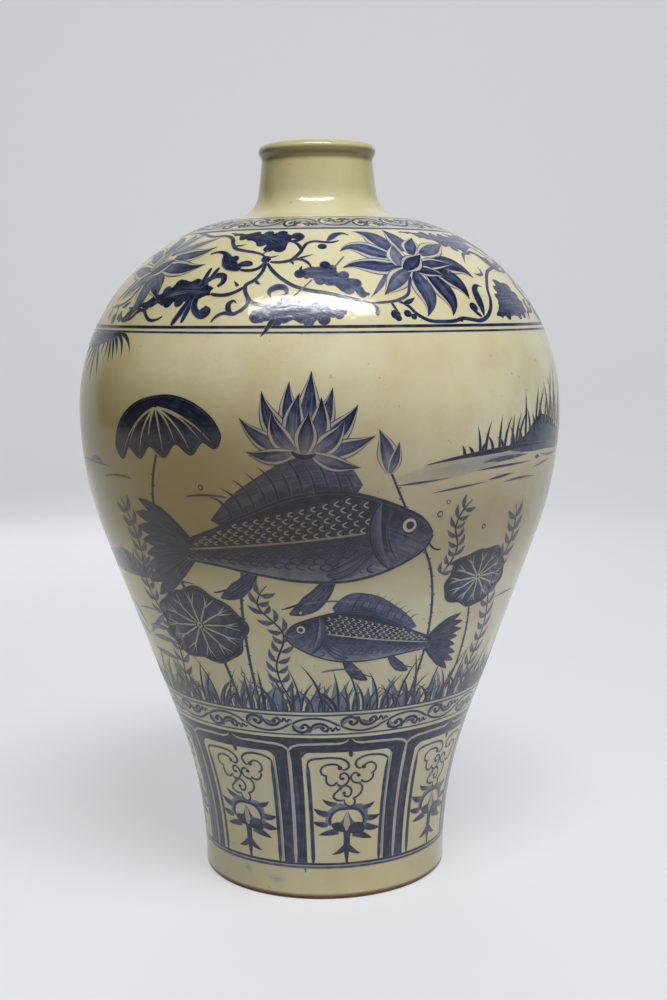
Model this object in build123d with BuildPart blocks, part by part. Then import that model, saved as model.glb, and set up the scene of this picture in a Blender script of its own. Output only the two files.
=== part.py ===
"""Meiping vase: a tall flower vessel with a small mouth, high round shoulders and a slim foot.

It is made as a potter makes one of this size: thrown sections of clay, luted together with slip, with a
slab for a base and a coat of glaze over the outside. The vase stands on the XY plane with its axis on Z.
"""

import os
from math import acos, atan2, cos, degrees, radians, sin, tan

from build123d import *

# Driving dimensions, in millimetres and degrees. Radii and heights are those of the glazed outside.
FOOT_R = 68.0  # foot, where it stands
FOOT_BAND = 4.0  # upright stretch of the foot
FOOT_RING_W = 12.0  # clay that the vase stands on, from the outside in
FOOT_CHAMFER = 1.2  # trimmed outer edge of the foot
BELLY_R = 132.0  # widest radius
BELLY_Z = 259.0  # height of the widest radius
STEM_LEAN = 1.415  # lean of the straight stem, as a multiple of the lean from the foot to the belly
FLARE_SHARE = 0.55  # the foot's flare, out of the two curves above and below the straight stem
SHOULDER_RADIUS = 104.0  # curve of the shoulder, from the belly up
NECK_FILLET = 15.0  # hollow curve where the shoulder turns up into the neck
INNER_FILLET = 20.0  # the same turn on the inside
MOUTH_R = 23.5  # bore of the mouth
NECK_WALL = 8.4  # clay of the neck at its foot
NECK_TAPER = 6.9  # inward lean of the neck
NECK_RISE = 16.5  # straight stretch of the neck
LIP_OVERHANG = 1.6  # how far the lip stands out from the neck
LIP_UNDER = 5.0  # hollow curve under the lip
LIP_BEAD = 4.1  # round of the rolled lip
MOUTH_ROUND = 1.6  # rounded inner edge of the mouth
WALL = 6.5  # clay of the body
GLAZE = 0.5  # coat of glaze
GLAZE_STOP = 1.5  # height at which the glaze stops above the foot
BASE_LIFT = 5.0  # recess under the base
BASE_THICK = 9.0  # slab of the base
BASE_GAP = 1.0  # slip round the slab
LOWER_SEAM_Z = 118.0  # height of the seam between the lower section and the belly
BELLY_SEAM_DROP = 31.0  # seam of the belly and the shoulder, below the widest radius
NECK_SEAM_DROP = 8.0  # seam of the neck, below the end of its hollow curve
SLIP = 1.2  # slip in a seam
SEAM_BEAD = 3.0  # round of the smoothed bead inside a seam

# The stem: a hollow flare from the foot, a straight stretch and a swell up to the belly.
spread = BELLY_R - FOOT_R
climb = BELLY_Z - FOOT_BAND
stem_angle = STEM_LEAN * atan2(spread, climb)
both_curves = (climb * sin(stem_angle) - spread * cos(stem_angle)) / (1 - cos(stem_angle))
flare_radius = FLARE_SHARE * both_curves
swell_radius = both_curves - flare_radius
stem_length = spread / tan(stem_angle / 2) - climb

# The shoulder turns until the neck's hollow curve can carry it up to the neck's radius.
lean = radians(NECK_TAPER)
neck_r = MOUTH_R + NECK_WALL + GLAZE
crown_reach = neck_r - BELLY_R + SHOULDER_RADIUS + NECK_FILLET * cos(lean)
crown_angle = acos(crown_reach / (SHOULDER_RADIUS + NECK_FILLET))
neck_z = BELLY_Z + (SHOULDER_RADIUS + NECK_FILLET) * sin(crown_angle) - NECK_FILLET * sin(lean)

# The inside of the shoulder turns into the straight bore of the mouth in the same way.
inset = GLAZE + WALL
inner_shoulder = SHOULDER_RADIUS - inset
inner_reach = MOUTH_R - BELLY_R + SHOULDER_RADIUS + INNER_FILLET
inner_angle = acos(inner_reach / (inner_shoulder + INNER_FILLET))

# The lip rolls out from the top of the neck and back over to a flat top.
lip_r = neck_r - NECK_RISE * sin(lean) + LIP_OVERHANG
lip_angle = acos((LIP_UNDER * cos(lean) + LIP_BEAD - LIP_OVERHANG) / (LIP_UNDER + LIP_BEAD))
lip_flat = lip_r - LIP_BEAD - MOUTH_R - MOUTH_ROUND

# Seams, and a reach that is wider than the vase for cutting slices.
belly_seam_z = BELLY_Z - BELLY_SEAM_DROP
neck_seam_z = neck_z - NECK_SEAM_DROP
base_r = FOOT_R - inset - BASE_GAP
reach = 2 * BELLY_R
QUARTER = 90


def body_line(depth, shoulder_turn):
    """Adds the line from the foot up over the belly, set in by a depth, and gives back its last arc."""
    foot = Line((FOOT_R - depth, 0), (FOOT_R - depth, FOOT_BAND))
    flare = JernArc(foot @ 1, foot % 1, flare_radius + depth, -degrees(stem_angle))
    stem = Line(flare @ 1, flare @ 1 + stem_length * (flare % 1))
    swell = JernArc(stem @ 1, stem % 1, swell_radius - depth, degrees(stem_angle))
    return JernArc(swell @ 1, swell % 1, SHOULDER_RADIUS - depth, degrees(shoulder_turn))


def outer_line(depth):
    """Adds the outside from the foot to the lip's flat top, set in by a depth, and gives back the flat."""
    shoulder = body_line(depth, crown_angle)
    hollow = JernArc(shoulder @ 1, shoulder % 1, NECK_FILLET + depth, degrees(lean - crown_angle))
    neck = Line(hollow @ 1, hollow @ 1 + NECK_RISE * (hollow % 1))
    under = JernArc(neck @ 1, neck % 1, LIP_UNDER + depth, -degrees(lean + lip_angle))
    bead = JernArc(under @ 1, under % 1, LIP_BEAD - depth, degrees(lip_angle) + QUARTER)
    return Line(bead @ 1, bead @ 1 + lip_flat * (bead % 1))


def inner_line():
    """Adds the inside from the foot up to the bore of the mouth, and gives back the curve into the bore."""
    shoulder = body_line(inset, inner_angle)
    return JernArc(shoulder @ 1, shoulder % 1, INNER_FILLET, -degrees(inner_angle))


def wall_face():
    """The whole clay wall, cut through on one side of the axis."""
    with BuildSketch(Plane.XZ) as face:
        with BuildLine():
            flat = outer_line(GLAZE)
            edge = JernArc(flat @ 1, flat % 1, MOUTH_ROUND, QUARTER)
            curve = inner_line()
            Line(edge @ 1, curve @ 1)
            Line((FOOT_R - inset, 0), (FOOT_R - GLAZE, 0))
        make_face()
    return face.sketch


def wall_slice(low, high):
    """The clay wall between two heights."""
    with BuildSketch(Plane.XZ) as cut:
        add(wall_face())
        with Locations((reach / 2, (low + high) / 2)):
            Rectangle(reach, high - low, mode=Mode.INTERSECT)
    return cut.sketch


def seam_slice(height):
    """The slip in a seam, with a smoothed bead on the inside of the wall."""
    with BuildSketch(Plane.XZ) as ring:
        add(wall_slice(height - SLIP / 2, height + SLIP / 2))
        inner_edge = ring.edges().sort_by(Axis.X)[0]
        with Locations(inner_edge @ 0.5):
            Circle(SEAM_BEAD)
        add(wall_slice(height + SLIP / 2, height + SLIP / 2 + SEAM_BEAD), mode=Mode.SUBTRACT)
        add(wall_slice(height - SLIP / 2 - SEAM_BEAD, height - SLIP / 2), mode=Mode.SUBTRACT)
    return ring.sketch


# The slab that closes the foot, lifted clear of the table.
with BuildPart() as base_disc:
    with BuildSketch(Plane.XY.offset(BASE_LIFT)):
        Circle(base_r)
    extrude(amount=BASE_THICK)

# The slip that lutes the slab into the foot.
with BuildPart() as base_slip:
    with BuildSketch(Plane.XZ):
        with Locations((base_r, BASE_LIFT)):
            Rectangle(BASE_GAP + WALL, BASE_THICK, align=(Align.MIN, Align.MIN))
        add(wall_slice(0, BASE_LIFT + BASE_THICK), mode=Mode.SUBTRACT)
    revolve(axis=Axis.Z)

# The lower section, with the ledge of the foot ring that carries the slab.
with BuildPart() as lower_body:
    with BuildSketch(Plane.XZ):
        add(wall_slice(0, LOWER_SEAM_Z - SLIP / 2))
        with Locations((FOOT_R - FOOT_RING_W, 0)):
            Rectangle(FOOT_RING_W - WALL, BASE_LIFT, align=(Align.MIN, Align.MIN))
    revolve(axis=Axis.Z)
    foot_edges = lower_body.edges().filter_by(GeomType.CIRCLE).group_by(Axis.Z)[0]
    chamfer(foot_edges.sort_by(SortBy.RADIUS)[-1], FOOT_CHAMFER)

with BuildPart() as lower_seam_slip:
    add(seam_slice(LOWER_SEAM_Z))
    revolve(axis=Axis.Z)

# The middle section, up to just under the widest radius.
with BuildPart() as belly_section:
    add(wall_slice(LOWER_SEAM_Z + SLIP / 2, belly_seam_z - SLIP / 2))
    revolve(axis=Axis.Z)

with BuildPart() as belly_seam_slip:
    add(seam_slice(belly_seam_z))
    revolve(axis=Axis.Z)

# The dome of the shoulder, open at the top for the neck.
with BuildPart() as shoulder_section:
    add(wall_slice(belly_seam_z + SLIP / 2, neck_seam_z - SLIP / 2))
    revolve(axis=Axis.Z)

# The slip under the neck, wiped flush with the bore so that the mouth stays clear.
with BuildPart() as neck_seam_slip:
    add(wall_slice(neck_seam_z - SLIP / 2, neck_seam_z + SLIP / 2))
    revolve(axis=Axis.Z)

# The neck with its rolled lip.
with BuildPart() as neck_and_lip:
    add(wall_slice(neck_seam_z + SLIP / 2, 2 * neck_z))
    revolve(axis=Axis.Z)

# The glaze, from just above the foot up over the lip to the inner edge of its flat top.
with BuildPart() as glaze_coat:
    with BuildSketch(Plane.XZ):
        with BuildLine():
            glaze_top = outer_line(0)
            clay_top = outer_line(GLAZE)
            Line(glaze_top @ 1, clay_top @ 1)
            Line((FOOT_R, 0), (FOOT_R - GLAZE, 0))
        make_face()
        with Locations((reach / 2, 0)):
            Rectangle(reach, 2 * GLAZE_STOP, mode=Mode.SUBTRACT)
    revolve(axis=Axis.Z)

pieces = {
    "base_disc": base_disc,
    "base_slip": base_slip,
    "lower_body": lower_body,
    "lower_seam_slip": lower_seam_slip,
    "belly_section": belly_section,
    "belly_seam_slip": belly_seam_slip,
    "shoulder_section": shoulder_section,
    "neck_seam_slip": neck_seam_slip,
    "neck_and_lip": neck_and_lip,
    "glaze_coat": glaze_coat,
}
os.makedirs("parts", exist_ok=True)
for name, piece in pieces.items():
    piece.part.label = name
    export_step(piece.part, f"parts/{name}.step")
print("overall height", round(glaze_coat.part.bounding_box().max.Z, 2))
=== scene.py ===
"""Meiping vase: ivory glaze over cobalt brush painting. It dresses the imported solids, in metres."""

import bpy
import numpy as np
from math import acos, atan2, ceil, cos, pi, radians, sin, tan
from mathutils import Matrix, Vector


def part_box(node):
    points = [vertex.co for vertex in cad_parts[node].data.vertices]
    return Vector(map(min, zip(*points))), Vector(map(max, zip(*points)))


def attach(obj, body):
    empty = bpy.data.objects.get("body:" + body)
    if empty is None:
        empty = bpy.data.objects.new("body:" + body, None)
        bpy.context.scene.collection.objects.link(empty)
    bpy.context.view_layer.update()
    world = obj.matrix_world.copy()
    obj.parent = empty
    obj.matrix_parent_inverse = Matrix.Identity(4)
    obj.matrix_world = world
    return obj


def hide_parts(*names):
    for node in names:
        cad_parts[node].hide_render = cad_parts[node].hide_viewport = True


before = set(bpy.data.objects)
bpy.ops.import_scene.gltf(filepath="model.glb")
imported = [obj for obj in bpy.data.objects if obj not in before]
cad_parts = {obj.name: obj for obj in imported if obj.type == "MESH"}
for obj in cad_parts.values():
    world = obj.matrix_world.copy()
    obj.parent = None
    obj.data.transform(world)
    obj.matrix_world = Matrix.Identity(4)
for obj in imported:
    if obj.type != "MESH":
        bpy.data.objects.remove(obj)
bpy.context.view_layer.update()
scene = bpy.context.scene

# Clay body: the slab, the lower section, the belly, the shoulder and the neck. They are thrown in buff
# stoneware and trimmed with a turning tool. Bare clay shows on the foot ring, underneath and inside.


def linear(hex_colour):
    """An sRGB hex value as linear red, green, blue and alpha."""
    parts = [int(hex_colour[i : i + 2], 16) / 255 for i in (1, 3, 5)]
    return tuple(c / 12.92 if c <= 0.04045 else ((c + 0.055) / 1.055) ** 2.4 for c in parts) + (1.0,)


def add_node(tree, kind, inputs, **settings):
    """Adds a node: its settings, then each input as a value, or as (node, output) for a link."""
    node = tree.nodes.new(kind)
    for name, value in settings.items():
        setattr(node, name, value)
    for key, value in inputs.items():
        if isinstance(value, tuple) and isinstance(value[0], bpy.types.Node):
            tree.links.new(value[0].outputs[value[1]], node.inputs[key])
        else:
            node.inputs[key].default_value = value
    return node


def bare_material(name):
    """A new material with an empty node tree, and the tree."""
    material = bpy.data.materials.new(name)
    material.use_nodes = True
    material.node_tree.nodes.clear()
    return material, material.node_tree


def dress(nodes, material):
    """Gives solids of the vase their one material."""
    for node in nodes:
        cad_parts[node].data.materials.clear()
        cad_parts[node].data.materials.append(material)


# Fired stoneware: a dry, sandy skin, red-brown where the flame met it and buff below, with turning lines.
BLUSH_SIZE = 0.03
GRIT_SIZE = 0.0012
TURNING_PITCH = 0.004
WAVE_LENGTH = 0.314  # metres from band to band of a wave texture at scale 1
stoneware, tree = bare_material("fired_stoneware")
place = add_node(tree, "ShaderNodeTexCoord", {})
here = (place, "Object")
blush = add_node(tree, "ShaderNodeTexNoise", {"Vector": here, "Scale": 1 / BLUSH_SIZE, "Detail": 4.0})
grit = add_node(tree, "ShaderNodeTexNoise", {"Vector": here, "Scale": 1 / GRIT_SIZE, "Detail": 3.0})
skin = add_node(
    tree,
    "ShaderNodeMix",
    {0: (blush, "Fac"), 6: linear("#6d4833"), 7: linear("#a07a58")},
    data_type="RGBA",
)
speckle = add_node(
    tree,
    "ShaderNodeMix",
    {0: (grit, "Fac"), 6: (skin, 2), 7: linear("#60432f")},
    data_type="RGBA",
)
lines = add_node(
    tree,
    "ShaderNodeTexWave",
    {"Vector": here, "Scale": WAVE_LENGTH / TURNING_PITCH, "Distortion": 1.5, "Detail Scale": 40.0},
    bands_direction="Z",
)
height = add_node(tree, "ShaderNodeMath", {0: (lines, "Fac"), 1: (grit, "Fac")}, operation="ADD")
bump = add_node(tree, "ShaderNodeBump", {"Height": (height, 0), "Strength": 0.35, "Distance": 0.0003})
dry = add_node(
    tree,
    "ShaderNodeBsdfPrincipled",
    {"Base Color": (speckle, 2), "Roughness": 0.88, "IOR": 1.5, "Normal": (bump, 0)},
)
add_node(tree, "ShaderNodeOutputMaterial", {0: (dry, 0)})
dress(("base_disc", "lower_body", "belly_section", "shoulder_section", "neck_and_lip"), stoneware)

# Slip in the seams: the same clay let down with water, wiped over the joints with a finger and a sponge.
# It fires paler and closer than the thrown clay, and shows inside the vase and round the base slab.
SMEAR_SIZE = 0.009
wiped_slip, tree = bare_material("fired_luting_slip")
place = add_node(tree, "ShaderNodeTexCoord", {})
smear = add_node(
    tree,
    "ShaderNodeTexNoise",
    {"Vector": (place, "Object"), "Scale": 1 / SMEAR_SIZE, "Detail": 5.0},
)
tone = add_node(
    tree,
    "ShaderNodeMix",
    {0: (smear, "Fac"), 6: linear("#8f6e51"), 7: linear("#bd9d78")},
    data_type="RGBA",
)
bump = add_node(tree, "ShaderNodeBump", {"Height": (smear, "Fac"), "Strength": 0.3, "Distance": 0.0006})
dry = add_node(
    tree,
    "ShaderNodeBsdfPrincipled",
    {"Base Color": (tone, 2), "Roughness": 0.8, "IOR": 1.5, "Normal": (bump, 0)},
)
add_node(tree, "ShaderNodeOutputMaterial", {0: (dry, 0)})
dress(("base_slip", "lower_seam_slip", "belly_seam_slip", "neck_seam_slip"), wiped_slip)

# Glaze coat: a clear glaze that the whole vase is dipped in, wiped off the foot and run a little way down
# the mouth. It is drawn as a turned shell on the same curves as the solids, in mm until it is placed.
MM = 1000  # in a metre
BELLY_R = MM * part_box("glaze_coat")[1].x
BELLY_Z = 259.0
FOOT_R = 68.0
FOOT_BAND = 4.0
STEM_LEAN = 1.415
FLARE_SHARE = 0.55
SHOULDER_RADIUS = 104.0
NECK_FILLET = 15.0
NECK_TAPER = 6.9
NECK_WALL = 8.4
NECK_RISE = 16.5
LIP_OVERHANG = 1.6
LIP_UNDER = 5.0
LIP_BEAD = 4.1
MOUTH_R = 23.5
MOUTH_ROUND = 1.6
MOUTH_RUN = 23.0
GLAZE = 0.5
GLAZE_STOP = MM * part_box("glaze_coat")[0].z
GLAZE_FACE = 0.25  # depth of the shell's outer face below the solid's
GLAZE_BACK = 0.42  # depth of its inner face
FOOT_EDGE = 0.3  # how far the outer face ends above the inner one
FACE_STEP = 2.5
BACK_STEP = 7.0
TURN_STEP = radians(7)
ROUND_STEPS = 256
WELD = 0.00001  # metres
THROWING_PITCH = 0.013  # metres


def wall_line(depth, step):
    """The outside from the foot over the lip into the mouth: rows of radius, height and heading in mm."""
    spread = BELLY_R - FOOT_R
    climb = BELLY_Z - FOOT_BAND
    stem_angle = STEM_LEAN * atan2(spread, climb)
    both_curves = (climb * sin(stem_angle) - spread * cos(stem_angle)) / (1 - cos(stem_angle))
    lean = radians(NECK_TAPER)
    neck_r = MOUTH_R + NECK_WALL + GLAZE
    crown_reach = neck_r - BELLY_R + SHOULDER_RADIUS + NECK_FILLET * cos(lean)
    crown_angle = acos(crown_reach / (SHOULDER_RADIUS + NECK_FILLET))
    lip_angle = acos((LIP_UNDER * cos(lean) + LIP_BEAD - LIP_OVERHANG) / (LIP_UNDER + LIP_BEAD))
    lip_r = neck_r - NECK_RISE * sin(lean) + LIP_OVERHANG
    stretches = [
        (FOOT_BAND, 0),
        (FLARE_SHARE * both_curves + depth, -stem_angle),
        (spread / tan(stem_angle / 2) - climb, 0),
        ((1 - FLARE_SHARE) * both_curves - depth, stem_angle),
        (SHOULDER_RADIUS - depth, crown_angle),
        (NECK_FILLET + depth, lean - crown_angle),
        (NECK_RISE, 0),
        (LIP_UNDER + depth, -lean - lip_angle),
        (LIP_BEAD - depth, lip_angle + pi / 2),
        (lip_r - LIP_BEAD - MOUTH_R - MOUTH_ROUND, 0),
        (MOUTH_ROUND + GLAZE - depth, pi / 2),
        (MOUTH_RUN, 0),
    ]
    radius, height, heading = FOOT_R - depth, 0.0, pi / 2
    rows = [(radius, height, heading)]
    for size, turn in stretches:
        length = size * abs(turn) if turn else size
        pieces = max(ceil(length / step), ceil(abs(turn) / TURN_STEP))
        chord = 2 * size * sin(abs(turn) / pieces / 2) if turn else length / pieces
        for _ in range(pieces):
            radius += chord * cos(heading + turn / pieces / 2)
            height += chord * sin(heading + turn / pieces / 2)
            heading += turn / pieces
            rows.append((radius, height, heading))
    return np.array(rows)


face_line = [(r, z) for r, z, _ in wall_line(GLAZE_FACE, FACE_STEP) if z > GLAZE_STOP + FOOT_EDGE]
back_line = [(r, z) for r, z, _ in wall_line(GLAZE_BACK, BACK_STEP) if z > GLAZE_STOP]
shell_line = face_line + back_line[::-1]
shell_line.append(face_line[0])
bpy.ops.object.select_all(action="DESELECT")
bpy.ops.mesh.primitive_plane_add(size=0.01, location=(0, 0, 0))
glazed_body = bpy.context.object
glazed_body.name = "glazed_body"
bpy.ops.object.mode_set(mode="EDIT")
bpy.ops.mesh.merge(type="CENTER")
bpy.ops.transform.translate(value=(shell_line[0][0] / MM, 0, shell_line[0][1] / MM))
for start, end in zip(shell_line, shell_line[1:]):
    move = ((end[0] - start[0]) / MM, 0, (end[1] - start[1]) / MM)
    bpy.ops.mesh.extrude_vertices_move(TRANSFORM_OT_translate={"value": move})
bpy.ops.mesh.select_all(action="SELECT")
bpy.ops.mesh.remove_doubles(threshold=WELD)
bpy.ops.mesh.spin(steps=ROUND_STEPS, angle=2 * pi, center=(0, 0, 0), axis=(0, 0, 1))
bpy.ops.mesh.select_all(action="SELECT")
bpy.ops.mesh.remove_doubles(threshold=WELD)
bpy.ops.mesh.normals_make_consistent(inside=False)
bpy.ops.object.mode_set(mode="OBJECT")
bpy.ops.object.shade_smooth_by_angle(angle=radians(50))


def ivory_ground(tree):
    """The glaze's colour and its soft waviness: ivory, yellower where it lies thick, with iron specks, and
    painted shade under the lip and down the left side.
    """
    place = add_node(tree, "ShaderNodeTexCoord", {})
    here = (place, "Object")
    pool, cloud, iron, peel = [
        add_node(
            tree,
            "ShaderNodeTexNoise",
            {"Vector": here, "Scale": 1 / size, "Detail": detail, "Roughness": rough},
        )
        for size, detail, rough in (
            (0.09, 3.0, 0.5), (0.022, 5.0, 0.6), (0.0026, 1.0, 0.5), (0.012, 2.0, 0.5),
        )
    ]
    apart = add_node(tree, "ShaderNodeSeparateXYZ", {0: here})
    across, up = (apart, 0), (apart, 2)
    right_drop = add_node(tree, "ShaderNodeMapRange", {0: across, 1: 0.0, 2: 0.1, 3: 0.0, 4: 0.03})
    tilted = add_node(tree, "ShaderNodeMath", {0: up, 1: (right_drop, 0)}, operation="ADD")
    share = {}
    for name, source, start, end, low, high, ease in (
        ("thick", (pool, "Fac"), 0.3, 0.7, 0.0, 1.0, "SMOOTHSTEP"),
        ("tan", (cloud, "Fac"), 0.45, 0.75, 0.0, 0.5, "LINEAR"),
        ("speck", (iron, "Fac"), 0.75, 0.8, 0.0, 0.45, "LINEAR"),
        # Painted shade: a dark band painted into the glaze just under the lip, where the lip shades the neck.
        ("lip_hollow", up, 0.39, 0.3925, 0.0, 1.0, "SMOOTHSTEP"),
        ("lip_edge", up, 0.3965, 0.3985, 0.75, 0.0, "SMOOTHSTEP"),
        # A brown band round the belly: partly the glaze's own stain, partly painted shade, made darker on the
        # left, the side away from the light.
        ("belly_band_low", up, 0.165, 0.205, 0.0, 1.0, "SMOOTHSTEP"),
        ("belly_band_high", (tilted, 0), 0.235, 0.295, 1.0, 0.0, "SMOOTHSTEP"),
        ("left_shade_share", across, -0.055, 0.04, 0.98, 0.52, "LINEAR"),
        # Painted shade: an olive tint down the left side, the side away from the light.
        ("left_shade_tint", across, -0.115, 0.0, 0.5, 0.0, "LINEAR"),
        ("damp", up, 0.012, 0.075, 0.26, 0.0, "LINEAR"),
        ("olive", up, 0.345, 0.38, 0.0, 0.75, "SMOOTHSTEP"),
        ("bare", up, 0.0026, 0.0036, 0.85, 0.0, "LINEAR"),
    ):
        share[name] = add_node(
            tree,
            "ShaderNodeMapRange",
            {0: source, 1: start, 2: end, 3: low, 4: high},
            interpolation_type=ease,
        )
    share["olive_thick"] = add_node(
        tree, "ShaderNodeMath", {0: (share["thick"], 0), 1: 0.6}, operation="MAXIMUM",
    )
    for name, one, other in (
        ("lip_underside_shade", "lip_hollow", "lip_edge"),
        ("belly_band", "belly_band_low", "belly_band_high"),
        ("belly_stain_and_shade", "belly_band", "left_shade_share"),
        ("olive_patch", "olive", "olive_thick"),
    ):
        share[name] = add_node(
            tree,
            "ShaderNodeMath",
            {0: (share[one], 0), 1: (share[other], 0)},
            operation="MULTIPLY",
        )
    colour = linear("#e6e2c2")
    for name, hex_colour in (
        ("thick", "#d6cea4"),
        ("tan", "#ccb98e"),
        ("speck", "#86683f"),
        # Partly painted shade: the belly band's brown, darkest on the left.
        ("belly_stain_and_shade", "#876b43"),
        # Painted shade on the left side.
        ("left_shade_tint", "#beb158"),
        ("damp", "#a3935c"),
        ("olive_patch", "#a49c55"),
        # Painted shade under the lip.
        ("lip_underside_shade", "#75643a"),
        ("bare", "#7d4d33"),
    ):
        layer = add_node(
            tree,
            "ShaderNodeMix",
            {0: (share[name], 0), 6: colour, 7: linear(hex_colour)},
            data_type="RGBA",
        )
        colour = (layer, 2)
    throwing = add_node(
        tree,
        "ShaderNodeTexWave",
        {
            "Vector": here,
            "Scale": WAVE_LENGTH / THROWING_PITCH,
            "Distortion": 3.0,
            "Detail": 2.0,
            "Detail Scale": 12.0,
        },
        bands_direction="Z",
    )
    rolling = add_node(
        tree,
        "ShaderNodeMath",
        {0: (throwing, "Fac"), 1: 0.5, 2: (peel, "Fac")},
        operation="MULTIPLY_ADD",
    )
    wavy = add_node(tree, "ShaderNodeBump", {"Height": (rolling, 0), "Strength": 0.25, "Distance": 0.0004})
    return colour, (wavy, 0), here


# Ivory glaze: a thick clear glass over pale clay, so a soft body colour under a wet-looking coat.
GLASS = {
    "Roughness": 0.45,
    "IOR": 1.5,
    "Specular IOR Level": 0.12,
    "Coat Weight": 0.9,
    "Coat Roughness": 0.155,
    "Coat IOR": 1.5,
}
ivory_glaze, tree = bare_material("ivory_glaze")
ground, wavy, _ = ivory_ground(tree)
glass = add_node(
    tree,
    "ShaderNodeBsdfPrincipled",
    {"Base Color": ground, "Normal": wavy, "Coat Normal": wavy, **GLASS},
)
add_node(tree, "ShaderNodeOutputMaterial", {0: (glass, 0)})
glazed_body.data.materials.append(ivory_glaze)
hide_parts("glaze_coat")
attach(glazed_body, "root")

# Ring lines: plain bands of cobalt, drawn with a loaded brush held still while the vase turns on a wheel.
# All the painting is a film of pigment under the glaze. It is laid here as strokes on the glazed wall,
# each a few microns above the one before, by angle round the vase (0 at the front) and mm up its outside.
FILM_LIFT = 0.03  # mm of the first stroke above the glazed face
LAYER_LIFT = 0.0045
MOST_LAYERS = 36
WIDEST = 2.2  # mm of wall that one face may span
WASH_STEP = 1.6
BRUSH_UV = 100  # mm of wall in one unit of the strokes' own map
HAIR_RUN = 26.0
HAIR_WIDTH = 1.3
STREAK_SHIFT = 7.3  # mm from the streaks of one stroke to those of the next
STREAK_ROUND = 97  # strokes until the shift starts again
paint = {"layer": 0, "grids": []}
outside = wall_line(0, 0.5)
wall_rise = np.concatenate([[0], np.cumsum(np.hypot(np.diff(outside[:, 0]), np.diff(outside[:, 1])))])


def wall_radius(rise):
    """The vase's radius in mm, so many mm up its outside."""
    return np.interp(rise, wall_rise, outside[:, 0])


def lay(angle, rise, load, along, across):
    """Lays a grid of points on the wall as one stroke with its load of pigment, and its brush direction."""
    depth = GLAZE_FACE - FILM_LIFT - LAYER_LIFT * min(paint["layer"], MOST_LAYERS)
    paint["layer"] += 1
    heading = np.interp(rise, wall_rise, outside[:, 2])
    radius = wall_radius(rise) - depth * np.sin(heading)
    height = np.interp(rise, wall_rise, outside[:, 1]) + depth * np.cos(heading)
    turn = np.radians(angle)
    points = np.stack([radius * np.sin(turn), -radius * np.cos(turn), height], axis=-1) / MM
    step_i = np.diff(angle[:, :-1], axis=0) * np.diff(rise[:-1, :], axis=1)
    step_j = np.diff(rise[:, :-1], axis=0) * np.diff(angle[:-1, :], axis=1)
    outward = np.sum(step_i - step_j) > 0
    paint["grids"].append((points, load, along, across, outward))


def smooth_path(points, spacing):
    """A smooth line through (angle, rise) points, as even samples: angle, rise, side vector and distance."""
    knots = np.array(points, float)
    middle = (knots[1:, 1] + knots[:-1, 1]) / 2
    runs = np.hypot(np.radians(np.diff(knots[:, 0])) * wall_radius(middle), np.diff(knots[:, 1]))
    at = np.concatenate([[0], np.cumsum(np.maximum(runs, 0.01))])
    slope = np.gradient(knots, at, axis=0, edge_order=2 if len(knots) > 2 else 1)
    count = max(3, ceil(at[-1] / spacing))
    distance = np.linspace(0, at[-1], count + 1)
    k = np.clip(np.searchsorted(at, distance, side="right") - 1, 0, len(at) - 2)
    span = at[k + 1] - at[k]
    t = ((distance - at[k]) / span)[:, None]
    span = span[:, None]
    line = (
        (2 * t**3 - 3 * t**2 + 1) * knots[k]
        + (t**3 - 2 * t**2 + t) * span * slope[k]
        + (3 * t**2 - 2 * t**3) * knots[k + 1]
        + (t**3 - t**2) * span * slope[k + 1]
    )
    radius = wall_radius(line[:, 1])
    forward = np.stack([np.gradient(np.radians(line[:, 0])) * radius, np.gradient(line[:, 1])], axis=1)
    forward /= np.maximum(np.hypot(forward[:, 0], forward[:, 1]), 1e-9)[:, None]
    side = np.stack([-forward[:, 1] / radius * 180 / pi, forward[:, 0]], axis=1)
    return line, side, distance


LINE = ((0, 0.5), (0.06, 1), (0.9, 1), (1, 0.4))
LEAF = ((0, 0.12), (0.12, 0.5), (0.3, 0.92), (0.42, 1), (0.6, 0.86), (0.8, 0.48), (1, 0.03))
BLADE = ((0, 0.75), (0.2, 1), (0.5, 0.8), (0.8, 0.4), (1, 0.04))
DROP = (
    ((0, 0.1), (0.04, 0.4), (0.12, 0.66), (0.25, 0.87), (0.5, 1))
    + ((0.75, 0.87), (0.88, 0.66), (0.96, 0.4), (1, 0.1))
)
SOFT = ((-1, 0.15), (-0.72, 1), (0.72, 1), (1, 0.15))
WASH = ((-1, 0.5), (-0.9, 1.12), (-0.4, 0.92), (0.4, 0.92), (0.9, 1.12), (1, 0.5))
SMUDGE = ((-1, 0), (-0.5, 0.5), (0, 1), (0.5, 0.5), (1, 0))


def loads_along(load, share):
    """The load at each share of the way, from one value or from values set evenly along it."""
    loads = np.atleast_1d(np.array(load, float))
    return np.interp(share, np.linspace(0, 1, len(loads)), loads)


def brush(path, width, load, shape=LINE, cross=SOFT):
    """One stroke: its path, its width in mm, its load from start to end, how it swells and its edges."""
    line, side, distance = smooth_path(path, min(max(width / 4, 0.45), 2.0))
    t = distance / distance[-1]
    half = width / 2 * np.interp(t, *np.array(shape).T)[:, None]
    knots, share = np.array(cross, float).T
    columns = [knots[0]]
    for left, right in zip(knots, knots[1:]):
        parts = max(1, ceil((right - left) * width / 2 / WIDEST))
        columns += [left + (right - left) * (i + 1) / parts for i in range(parts)]
    columns = np.array(columns)
    angle = line[:, :1] + side[:, :1] * half * columns
    rise = line[:, 1:] + side[:, 1:] * half * columns
    drawn = loads_along(load, t)[:, None] * np.interp(columns, knots, share)
    lay(angle, rise, drawn, distance[:, None] + 0 * columns, half * columns)


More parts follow.
